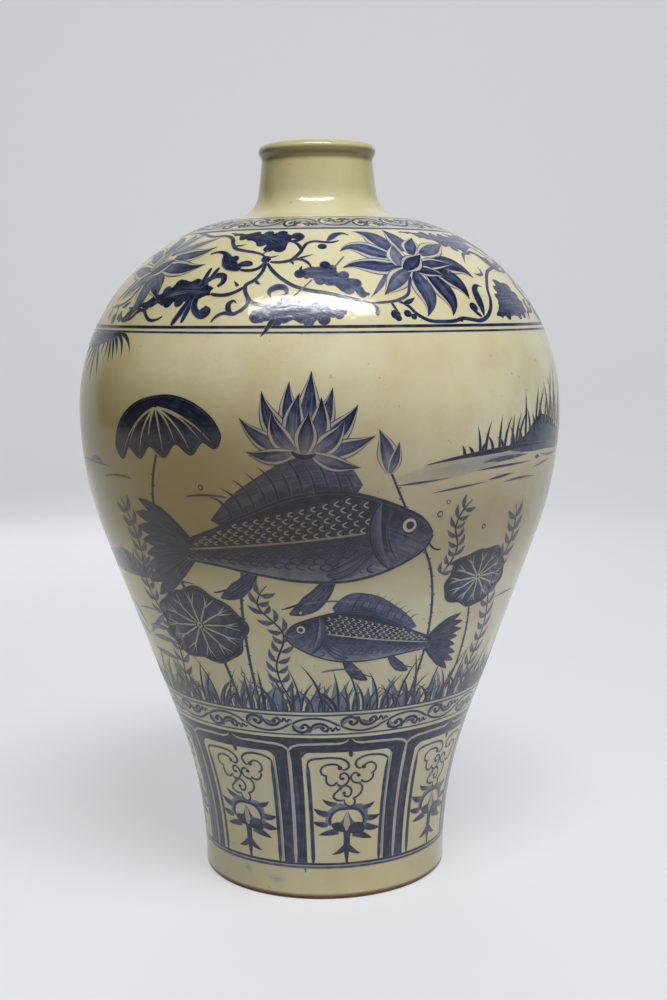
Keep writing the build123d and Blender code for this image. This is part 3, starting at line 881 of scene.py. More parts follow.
def vine_middle(turn):
    """Draws the joint of the vine with its bud, its three leaves and the stem to the lotus."""
    paint["layer"] = 0
    upper_top = [(-33.8, 380.6), (-30, 379.4), (-26, 378.6), (-20, 378), (-14, 378), (-10, 376.6), (-8, 374)]
    upper_low = [
        (-33.6, 380.1), (-29.6, 378), (-26, 375.4), (-22, 372), (-17, 368.6), (-12.4, 362.6), (-9.6, 366),
    ]
    lobed_leaf(turn, upper_top, upper_low, 9.0, 0.9)
    vine(turn, [(-9, 370.4), (-6, 371.4), (-5, 374.4), (-6.4, 377.6), (-8.4, 377)], 2.6, 0.95)
    dot(turn - 11.2, 364.2, 6.0, 1.0)
    dot(turn - 7.0, 375.2, 5.6, 0.95)
    vine(turn, [(-20, 375.6), (-15.6, 372.6), (-11.4, 367)], 1.4, (0.95, 1.0))
    vine(turn, [(-16.1, 359.6), (-15.2, 361.6), (-14.6, 363)], 0.9, 0.6)
    middle_top = [
        (-5, 346), (-2.4, 348.6), (0.6, 349.4), (3.6, 348), (6, 344.4), (8.4, 341), (10, 337), (13, 332.2),
    ]
    middle_low = [
        (-5, 344.6), (-2.4, 343.4), (0.6, 341.4), (3.6, 338.6), (6, 336.2), (8.4, 335.6), (10, 334),
        (12.8, 331.6),
    ]
    lobed_leaf(turn, middle_top, middle_low, 9.5, 0.62)
    dot(turn - 4.3, 345.2, 5.8, 1.0)
    dot(turn + 2.3, 351.0, 5.2, 0.95)
    vine(turn, [(-4.2, 347), (-4.2, 349), (-3.9, 350.6)], 1.4, 0.95, BLADE)
    vine(turn, [(4.4, 348.6), (6.2, 352.8), (7.9, 357.2)], 0.9, 0.45)
    lower_top = [(-15, 322), (-12, 325.4), (-8, 326.6), (-4, 326.6), (0, 325.4), (3, 323.6), (7, 322.6)]
    lower_low = [(-15, 319.6), (-12, 318.4), (-8, 318.4), (-4, 318.6), (0, 318.8), (3, 320.2), (6.8, 322)]
    dot(turn - 13.8, 320.4, 7.4, 0.9)
    lobed_leaf(turn, lower_top, lower_low, 10.0, 0.76)
    vine(turn, [(-9.7, 320), (-10.8, 315), (-12.5, 309.6)], 2.4, (0.95, 0.85), BLADE)
    vine(
        turn, [(-11, 331.2), (-11.6, 334), (-10, 336.8), (-7.8, 336.2), (-7.2, 333.4), (-8.6, 332.2)], 3.4,
        (0.5, 0.9, 0.7), LEAF,
    )
    vine(turn, [(-7.8, 330.6), (-8.6, 329.2), (-9.8, 328)], 1.2, 0.6)
    paint["layer"] = 12
    vine(
        turn,
        [
            (-13.8, 352.9), (-11.5, 346.8), (-8.8, 341.8), (-5.6, 337.5), (-2.5, 335.2), (2, 333.3),
            (7, 330.6), (13, 327.2),
        ],
        1.9, (0.95, 0.95, 0.8, 0.6),
    )
    vine(turn, [(-1.1, 341.4), (-3.4, 336), (-5.9, 330.6)], 0.8, 0.45)
    vine(turn, [(-10.4, 353.3), (-7.5, 354.5), (-4.7, 355.3), (-2.5, 352.9), (-1.5, 349.6)], 1.6, (0.95, 0.8))
    vine(
        turn,
        [
            (-13.1, 353.7), (-10.2, 353.3), (-7.5, 354.5), (-5.6, 358.3), (-4.5, 362.9), (-5, 364.8),
            (-6.5, 368.3), (-8.4, 370),
        ],
        1.9,
    )
    vine(
        turn,
        [(-4.5, 362.4), (-4, 364.5), (-2.9, 368.3), (-0.6, 369.9), (2, 369.2), (4.6, 368.8), (7.2, 370.4)],
        1.7,
    )
    vine(turn, [(3.2, 369), (4.6, 372.4), (7, 376.8), (9.4, 377.6), (11.2, 375.2)], 3.4, (0.55, 0.85), LEAF)
    dot(turn + 1.8, 365.2, 4.6, 0.95)
    vine(turn, [(-5.2, 355.8), (-3, 357.4), (-0.6, 359.1)], 1.3, (0.8, 0.5), BLADE)
    vine(turn, [(-7.2, 354), (-6.6, 352.6), (-6.2, 351.2)], 1.3, 0.9, BLADE)
    dot(turn - 14.5, 355.6, 5.0, 1.0)
    vine(turn, [(-13.9, 356.8), (-12.4, 357.4), (-11, 358.5)], 1.2, 0.65, BLADE)
    vine(turn, [(-14.5, 353.9), (-16.1, 349.1), (-18.8, 347.9), (-21.7, 349.1)], 1.9)
    bud = [
        (-21.3, 349), (-24.7, 352), (-27, 356.8), (-28.4, 360.4), (-30.2, 362.2), (-32.6, 362.2),
        (-34.2, 360.9),
    ]
    vine(
        turn, bud, 6.6, (0.98, 0.95, 0.9),
        ((0, 0.4), (0.2, 0.9), (0.36, 1), (0.5, 0.7), (0.65, 0.36), (0.85, 0.24), (1, 0.2)),
    )
    dot(turn - 24.5, 356.4, 5.0, 0.95)
    vine(turn, [(-22.6, 351), (-20.2, 352.7), (-17.9, 351.6)], 3.8, 1.0, DROP)
    vine(
        turn,
        [
            (-14.4, 354), (-14.7, 346), (-16.1, 341.4), (-18.1, 338.2), (-17.9, 335), (-17.2, 332.2),
            (-15.6, 328.4), (-13.4, 326.8), (-10.6, 327.5),
        ],
    )
    vine(
        turn,
        [
            (-17.1, 331), (-16.6, 327.5), (-17.9, 323.8), (-19.7, 321.9), (-22, 322.4), (-23.6, 321),
            (-24.8, 317.6),
        ],
        1.8, (0.8, 0.65),
    )
    vine(
        turn, [(-19.5, 322), (-21.1, 324.5), (-21.3, 327.6), (-20.2, 329.1), (-19.3, 327.5)], 2.6, 0.95, LEAF,
    )
    vine(turn, [(-15.6, 341), (-15.2, 339.8), (-14.2, 338.8)], 1.5, 0.9, BLADE)


def vine_left(turn):
    """Draws the big dark leaf beside the lotus, the stems that feed it and the small leaf below it."""
    paint["layer"] = 0
    leaf_top = [
        (-53.4, 325.8), (-49.4, 328.8), (-45.8, 330.4), (-42.4, 335), (-38.6, 339.4), (-34.6, 341.4),
        (-31, 340.6), (-27.4, 336),
    ]
    leaf_low = [
        (-53.2, 325.2), (-49, 327.2), (-45.4, 328), (-42, 329), (-38.4, 329.6), (-34.6, 330.2), (-31, 331.2),
        (-27.4, 333.4),
    ]
    lobed_leaf(turn, leaf_top, leaf_low, 10.0, 0.98)
    vine(turn, [(-42, 331.6), (-37, 334.6), (-31, 335.6)], 1.5, 0.6, LEAF)
    vine(
        turn, [(-31.4, 337.6), (-29.4, 342.6), (-27.4, 345), (-25.4, 344.4), (-24.8, 341.6), (-26, 338)], 3.2,
        0.98,
    )
    vine(turn, [(-30.9, 340), (-30.8, 345.6), (-30.6, 350.4)], 2.2, 1.0)
    vine(turn, [(-29.2, 341), (-28.7, 345.6), (-28.0, 350.4)], 2.2, 0.98)
    vine(turn, [(-32.6, 331), (-34, 324), (-35.9, 316.2)], 3.2, 1.0)
    vine(turn, [(-31.8, 330), (-32.4, 323.6), (-33.1, 317.4)], 2.6, 1.0)
    vine(
        turn, [(-30.8, 331.6), (-30.7, 326), (-29.3, 322.5), (-27.5, 321), (-26.4, 323.3), (-27.8, 326)], 3.4,
        0.98,
    )
    dot(turn - 27.7, 323.6, 4.4, 0.98)
    vine(turn, [(-27.2, 333.6), (-24.6, 332.6), (-22.5, 332.9), (-19.7, 335.3), (-18, 338.4)], 1.9)
    vine(turn, [(-20.2, 337.8), (-20.8, 339.2), (-21.7, 341.2)], 1.5, 0.9, BLADE)
    upper = [
        (-54, 383), (-48.4, 381.2), (-43.8, 378.7), (-40.2, 377.5), (-36.5, 377.9), (-32.9, 376.8),
        (-30.2, 373.7),
    ]
    vine(
        turn,
        upper + [
            (-28.4, 369.1), (-26.1, 364.8), (-22.9, 362.9), (-19.3, 361.4), (-16.1, 359.1), (-14.6, 356),
        ],
        2.0, (0.55, 0.75, 0.95),
    )
    vine(turn, [(-27.6, 367.2), (-25.6, 367.2), (-23.2, 368.6)], 1.6, (0.7, 0.5), BLADE)
    small = [
        (-58.4, 324.5), (-57.5, 321.4), (-54.3, 319.1), (-51.5, 320.6), (-49.7, 324.3), (-47.5, 324.5),
        (-45.6, 321.4), (-43.8, 319.1),
    ]
    vine(turn, small + [(-41.5, 319.1), (-39.7, 321)], 1.8)
    vine(turn, [(-56.6, 319.6), (-53.8, 321.4), (-53.2, 324), (-55.4, 326.4)], 5.0, 0.85, LEAF)
    dot(turn - 49.6, 324.5, 3.4, 0.9)


def vine_right(turn):
    """Draws the stem from the lotus along the ring line to the right, with its leaves and berry."""
    paint["layer"] = 0
    low = [
        (19.8, 328), (22.1, 325.2), (23.5, 321.4), (26.2, 317.6), (29.8, 316.7), (33.5, 317.0), (36.2, 318.3),
        (38.9, 317.6), (41.6, 317.0),
    ]
    high = [
        (44.4, 319.1), (47.1, 323.7), (48.9, 329.1), (50, 334.5), (52.1, 339.8), (54.8, 344.5), (57.5, 347.5),
        (62, 349.8), (68, 351.6), (75, 354.4),
    ]
    vine(turn, low + high, 1.9, (0.85, 0.98, 0.9))
    vine(
        turn, [(43.4, 319.4), (43.8, 324), (44.1, 329.6), (44.9, 335.6), (46.3, 337.5), (48.3, 336.4)], 4.6,
        0.98, LEAF,
    )
    dot(turn + 41, 324.5, 5.4, 1.0)
    vine(turn, [(40.6, 322.8), (41.6, 320.8), (42.6, 319.2)], 1.9, 0.98)
    dot(turn + 35.5, 317.2, 1.9, 0.95)
    low_top = [
        (48.4, 319.9), (50.2, 322.6), (52.2, 327.6), (54.4, 334), (57, 339), (60.6, 339.4), (63.8, 334),
        (66, 327),
    ]
    low_low = [(48.6, 319.4), (52, 319.6), (56, 320), (60, 320.4), (63.4, 321.8), (66, 324.6)]
    lobed_leaf(turn, low_top, low_low, 8.0, 0.85)
    up_top = [
        (31.6, 379.9), (36.4, 380), (41, 378.6), (46, 377.4), (51, 376.6), (56, 376.6), (61, 376),
        (65, 374.6),
    ]
    up_low = [
        (31.8, 379.3), (36.6, 378.8), (41, 375), (46, 370.4), (51, 365.6), (56, 364.4), (61, 366.4),
        (65, 371),
    ]
    lobed_leaf(turn, up_top, up_low, 9.0, 0.55)
    vine(turn, [(64, 369.6), (67, 363.6), (71, 358.4), (75, 354.4)], 1.8)
    vine(
        turn, [(57.2, 359.4), (55.3, 360.6), (52.5, 360.4), (50.3, 356.8), (48.7, 352.9)], 1.8, (0.5, 0.7),
        LEAF,
    )
    vine(turn, [(48.9, 345.8), (50.7, 344.6), (52.6, 345.4), (53.5, 351.2)], 2.0, 0.6, LEAF)


for turn, petals in ((0, NEAR_LOTUS), (100, FAR_LOTUS), (180, NEAR_LOTUS), (280, FAR_LOTUS)):
    lotus_flower(turn, petals)
for turn in (0, 90, 180, 270):
    vine_middle(turn)
for turn in (0, 180):
    vine_left(turn)
    vine_right(turn)
painted("cobalt_lotus_scroll")

# Pond picture: two fish among lotus leaves, flowers and waterweed, painted on the belly, once on the front
# and once on the back. Bodies and leaves are dark washes, with scales, rays and veins over them or left bare.
RAY = ((0, 0.5), (0.3, 0.85), (0.6, 1), (0.85, 0.6), (1, 0.1))


def swimming(centre, size, tilt, facing):
    """Gives a function from a fish's own mm (nose at -50, tail at 50, for size 1) to places on the wall."""

    def spot(x, y):
        along = size * (facing * x * cos(radians(tilt)) - y * sin(radians(tilt)))
        up = size * (facing * x * sin(radians(tilt)) + y * cos(radians(tilt)))
        rise = centre[1] + up
        return (centre[0] + float(np.degrees(along / wall_radius(rise))), rise)

    return spot


def fish(centre, size, tilt, facing):
    """Draws a fish: fins first, then the body with its dark back, its scales, gill, eye and mouth."""
    spot = swimming(centre, size, tilt, facing)

    def way(points):
        return [spot(*p) for p in points]

    paint["layer"] = 2
    tail_tips = ((57, 19), (60, 14), (60.5, 8.5), (58.5, 3.5), (58, -2), (60, -7.5), (60, -13), (56, -18.5))
    for tip_x, tip_y in tail_tips:
        middle = (46, 0.5 + 0.62 * tip_y)
        brush(way([(35, 0.12 * tip_y), middle, (tip_x, tip_y)]), 6.2 * size, (1.0, 0.75, 0.95), RAY, WASH)
    for tip_x, tip_y in tail_tips:
        middle = (46, 0.5 + 0.62 * tip_y)
        brush(way([(36, 0.12 * tip_y), middle, (tip_x - 0.5, tip_y)]), 0.9 * size, 0.95)
    paint["layer"] = 2
    fin_base = [(-25, 17.6), (-14, 18.6), (0, 16.6), (12, 12.6), (22, 8.8)]
    fin_edge = [(-27, 20), (-19, 30), (-5, 30.5), (9, 24.5), (19, 18), (26, 11)]
    fill(way(fin_base), way(fin_edge), (0.85, 0.5, 0.6))
    for i in range(11):
        x = -24 + 4.2 * i
        base_y = np.interp(x, *np.array(fin_base).T)
        tip = (x + 4 + 0.35 * i, np.interp(x + 1, *np.array(fin_edge).T) + 1.5)
        brush(way([(x, base_y), (x + 1.2, (base_y + tip[1]) / 2), tip]), 1.25 * size, (0.95, 0.8), BLADE)
    paint["layer"] = 2
    for root, lean, tip, wide in (
        ((-13, -12), (-8, -19), (3, -25.5), 7.5),
        ((13, -8.5), (18, -14), (27, -18.5), 6.5),
    ):
        brush(way([root, lean, tip]), wide * size, (0.9, 0.65, 0.9), RAY, WASH)
        for shift in (-2.6, 0, 2.6):
            middle = (lean[0] + shift * 0.7, lean[1] + 0.4)
            end = (tip[0] + shift, tip[1] + abs(shift) * 0.8)
            brush(way([root, middle, end]), 0.8 * size, 0.9)
    back = [
        (-50, 0.4), (-46.5, 6), (-40, 10.4), (-32, 14.4), (-20, 18.2), (-5, 17.8), (12, 12.8), (27, 7),
        (38, 4),
    ]
    belly = [
        (-50, -0.6), (-46.5, -5), (-40, -8.6), (-32, -11.6), (-20, -14), (-5, -13.2), (12, -9.4), (27, -5.4),
        (38, -3.6),
    ]
    paint["layer"] = 18
    fill(way(back), way(belly), (1.25, 1.2, 1.15, 1.0, 0.82, 0.62, 0.42, 0.24))
    for row in range(-4, 6):
        for column in range(17):
            x = -27 + 3.9 * column + (1.95 if row % 2 else 0)
            y = 2.9 * row * (1 - 0.011 * (x + 27)) + 1.4
            top = np.interp(x, *np.array(back).T) - 1.6
            low = np.interp(x, *np.array(belly).T) + 1.6
            if low < y < top and x < 37:
                high = 1.7 * (1 - 0.008 * (x + 27))
                paint["layer"] = 19
                brush(way([(x - 0.6, y + high), (x + 1.7, y), (x - 0.6, y - high)]), 0.75 * size, 0.95)
                if y > 2:
                    glint = [(x - 1.3, y + 0.6 * high), (x + 0.3, y), (x - 1.3, y - 0.6 * high)]
                    brush(way(glint), 0.5 * size, 0.1)
    paint["layer"] = 21
    face_back = [(-50, 0.4), (-46.5, 6), (-40, 10.4), (-33, 14)]
    face_low = [(-50, -0.6), (-46.5, -5), (-40, -8.6), (-33, -11.2)]
    fill(way(face_back), way(face_low), (1.05, 0.9, 0.6, 0.45, 0.5))
    gill_out = [(-33, 14), (-29, 8.5), (-27.6, 1), (-29, -6), (-33, -11.2)]
    gill_in = [(-33, 14), (-32, 8), (-31.5, 1), (-32, -6), (-33, -11.2)]
    fill(way(gill_out), way(gill_in), (0.9, 0.3))
    brush(way(gill_out), 1.1 * size, 0.98)
    brush(way([(-36, 10), (-34, 5), (-34, -2), (-36, -8)]), 0.8 * size, 0.85)
    brush(way(back), 1.3 * size, 1.0)
    brush(way(belly), 1.1 * size, 0.9)
    brush(way([(-50, -0.4), (-47.5, -2.2), (-45.4, -2.6)]), 0.9 * size, 0.98)
    brush(way([(-48.5, -3.4), (-50.5, -6), (-52.6, -6.4)]), 0.7 * size, 0.9)
    dot(*spot(-41.6, 4.2), 6.4 * size, 0.95)
    dot(*spot(-41.6, 4.2), 4.9 * size, 0.0)
    dot(*spot(-41.8, 4.2), 2.9 * size, 1.0)
    brush(way([(-27, -3), (-20, -9), (-11.5, -11.6)]), 7.0 * size, (0.75, 0.45, 0.7), RAY, WASH)
    for shift in (-1.8, 0, 1.8):
        brush(way([(-27, -3), (-20 + shift * 0.4, -8.8 + shift), (-12, -11.4 + shift)]), 0.7 * size, 0.95)
    brush(way([(-26, 3.2), (-5, 2.2), (16, 1.4), (36, 0.6)]), 0.7 * size, 0.1)


def round_leaf(centre, wide, high, swing):
    """Draws a lotus leaf seen from above: a wavy dark disc with veins left bare and a dark rim."""
    paint["layer"] = 2
    turn = np.linspace(0, 2 * pi, 97)[:, None]
    share = np.linspace(0.04, 1, 13)[None, :]

    def wave(theta):
        return 1 + 0.05 * np.sin(5 * theta + swing) + 0.035 * np.sin(9 * theta + 2 * swing)

    reach = share * (1 + (wave(turn) - 1) * share)
    rise = centre[1] + high * reach * np.sin(turn)
    angle = centre[0] + np.degrees(wide * reach * np.cos(turn) / wall_radius(rise))
    load = 1.08 - 0.36 * np.sin(pi * np.clip(share * 1.05, 0, 1)) + 0.06 * np.sin(7 * turn) + 0 * turn
    lay(angle, rise, load, turn * 20 + 0 * share, share * wide + 0 * turn)

    def spoke(theta, part):
        rise = centre[1] + high * part * sin(theta)
        return (centre[0] + float(np.degrees(wide * part * cos(theta) / wall_radius(rise))), rise)

    for i in range(12):
        theta = swing + 2 * pi * i / 12
        brush([spoke(theta, 0.1), spoke(theta + 0.04, 0.5), spoke(theta + 0.02, 0.9)], 1.0, 0.08, BLADE)
        for side in (-0.13, 0.13):
            fork = [spoke(theta + 0.02, 0.58), spoke(theta + side * 0.6, 0.75), spoke(theta + side, 0.92)]
            brush(fork, 0.7, 0.1, BLADE)
    rim = [spoke(theta, wave(theta)) for theta in np.linspace(0, 2 * pi, 49)]
    brush(rim, 1.2, 0.98, ((0, 1), (1, 1)))
    dot(*centre, 3.4, 0.0)
    dot(*centre, 2.0, 0.9)


def hanging_leaf(centre, size, tilt):
    """Draws a lotus leaf seen from the side, like an open umbrella with a wavy hem."""
    spot = swimming(centre, size, tilt, 1)
    paint["layer"] = 2
    crown = [(-33, -2), (-27, 8), (-16, 15), (-3, 17.5), (11, 16.5), (23, 11), (31, 3), (34, -4)]
    hem = [
        (-33, -2.6), (-28, -8.5), (-22, -3.5), (-15, -9.5), (-7, -4.5), (1, -10.5), (9, -5), (17, -11),
        (24, -6), (30, -9.5), (34, -4.6),
    ]
    fill([spot(*p) for p in crown], [spot(*p) for p in hem], (1.1, 0.95, 0.82, 0.8, 0.95))
    for x, y in ((-28, -7), (-22, -3), (-15, -8), (-7, -4), (1, -9), (9, -5), (17, -9.5), (24, -6), (30, -8)):
        vein = [spot(0.04 * x, 12.5), spot(0.55 * x, 0.45 * y + 9), spot(0.96 * x, 0.9 * y)]
        brush(vein, 1.1 * size, 0.06, BLADE)
    brush([spot(*p) for p in crown], 1.3, 0.98)
    brush([spot(*p) for p in hem], 1.3, 0.98)
    for x, y in ((-22, -3.5), (-7, -4.5), (9, -5), (24, -6)):
        brush([spot(x, y), spot(x + 0.6, y + 3.2), spot(x + 0.4, y + 6)], 1.3, 0.9, BLADE)


def pond_flower(centre, size, tilt):
    """Draws a lotus flower seen from the side, its petals pale at the root and dark at the tip."""
    spot = swimming(centre, size, tilt, 1)
    paint["layer"] = 2
    petals = (
        ((-3, 4), (-9, 20), (-10, 34), 11),
        ((3, 4), (9, 20), (11, 33), 11),
        ((0, 4), (0.5, 22), (0, 40), 13),
        ((-5, 3), (-17, 14), (-23, 28), 12),
        ((5, 3), (17, 14), (24, 26), 12),
        ((-4, 2), (-6, 15), (-4.5, 29), 12),
        ((4, 2), (6.5, 15), (6, 28), 12),
        ((-6, 1), (-21, 5), (-33, 14), 10),
        ((6, 1), (21, 5), (34, 12), 10),
        ((-4, 1), (-13, 8), (-17, 19), 11),
        ((4, 1), (13, 8), (18, 18), 11),
        ((-5, 0), (-17, -3), (-28, -2), 8.5),
        ((5, 0), (17, -3.5), (28, -4), 8.5),
        ((0, 0), (0.5, 9), (0.8, 20), 12),
    )
    for root, middle, tip, wide in petals:
        brush([spot(*root), spot(*middle), spot(*tip)], wide * size, (0.2, 0.45, 0.75, 1.1), PETAL, BARE_RIM)
        for part in (-0.18, 0.18):
            low = (0.5 * (root[0] + middle[0]) + part * wide * 0.5, 0.5 * (root[1] + middle[1]))
            high = (0.35 * middle[0] + 0.65 * tip[0] + part * wide * 0.2, 0.35 * middle[1] + 0.65 * tip[1])
            brush([spot(*low), spot(middle[0] + part * wide * 0.6, middle[1]), spot(*high)], 0.55, (0.3, 0.8))
    brush([spot(-6, 0.6), spot(0, -1.6), spot(6, 0.6)], 3.0 * size, 0.9, DROP)


def stalk(points, width, load):
    """Draws a stalk with its small prickles, behind everything else in the picture."""
    paint["layer"] = 0
    brush(points, width, load, ((0, 0.9), (0.5, 1), (1, 0.8)), SOFT)
    line, side, _ = smooth_path(points, 5.5)
    for number in range(2, len(line) - 2):
        hand = 1 if number % 2 else -1
        paint["layer"] = 1
        dot(*(line[number] + side[number] * hand * (0.3 * width + 0.6)), 0.8, 0.8)


def waterweed(points, leaf, load):
    """Draws a strand of waterweed with small pointed leaves on both sides."""
    paint["layer"] = 2
    line, side, _ = smooth_path(points, 0.75 * leaf)
    for number in range(1, len(line)):
        forward = line[number] - line[number - 1]
        for hand in (-1, 1):
            root = line[number - 1]
            tip = root + forward * 0.95 + side[number] * hand * leaf * 0.62
            bow = root + forward * 0.35 + side[number] * hand * leaf * 0.42
            brush([root, bow, tip], 0.34 * leaf, (load, load * 0.8), LEAF, SOFT)
    brush(points, 1.1, 0.9, STEM)


def pond(turn):
    """Draws the whole picture, turned round the vase by an angle."""

    def at(points):
        return turned(points, turn)

    stalk(at([(-20, 112.5), (-21, 150), (-19, 190), (-12, 225), (-5, 256)]), 1.8, 0.8)
    stalk(at([(-27, 112.5), (-31, 150), (-38, 190), (-40, 225), (-37, 252)]), 2.0, 0.85)
    stalk(at([(28, 112.5), (31, 150), (28, 190), (20, 222), (15, 246)]), 1.6, 0.75)
    stalk(at([(43, 112.5), (46, 130), (46, 150), (43, 172)]), 1.8, 0.8)
    waterweed(at([(-50, 120), (-47, 150), (-52, 178), (-49, 205), (-52, 228)]), 10, 0.6)
    waterweed(at([(-9, 118), (-13, 138), (-10, 158), (-16, 176), (-13, 186)]), 9, 0.65)
    waterweed(at([(52, 122), (55, 150), (51, 178), (54, 205), (52, 222)]), 10, 0.6)
    waterweed(at([(31, 189), (34, 203), (32.4, 215), (36, 228)]), 8, 0.55)
    round_leaf((turn - 35, 160), 27, 21, 0.6)
    round_leaf((turn + 44, 184), 22, 16, 2.1)
    hanging_leaf((turn - 36, 262), 1.05, 8)
    pond_flower((turn - 3, 254), 0.98, -6)
    paint["layer"] = 2
    bud = at([(15, 244), (14.4, 254), (12.6, 265)])
    brush(bud, 11, (0.2, 0.5, 0.95), PETAL, BARE_RIM)
    brush(at([(15, 244), (16.4, 252), (17, 259)]), 6.5, (0.3, 0.6, 0.95), PETAL, BARE_RIM)
    fish((turn - 7, 207), 1.45, 4, -1)
    fish((turn + 14, 153), 0.88, -7, 1)
    paint["layer"] = 30
    bubbles = (
        (27.6, 222, 3.4), (29.4, 228, 2.4), (41, 213, 2.6), (-26, 237, 2.8), (-5, 171, 2.4), (-24, 133, 2.6),
    )
    for a, m, size in bubbles:
        dot(a + turn, m, size, 0.75)
        dot(a + turn, m, 0.62 * size, 0.0)
    for path in (
        ((-58, 238), (-52, 239.5), (-46, 238.6)),
        ((-30, 232), (-25, 233.2), (-20, 232.4)),
        ((0, 136), (6, 137.6), (12, 136.6)),
        ((-4, 176), (2, 177.4), (8, 176.4)),
    ):
        brush(at(path), 0.9, (0.35, 0.6, 0.3))


for side, turn in (("front", 0), ("back", 180)):
    pond(turn)
    painted(f"cobalt_pond_{side}")

# Banks and grass: reeds on a bank at either side of the picture, water lines below them, leaves hanging from
# the ring line, and a border of grass blades along the foot of the picture. Quick strokes, half of them thin.


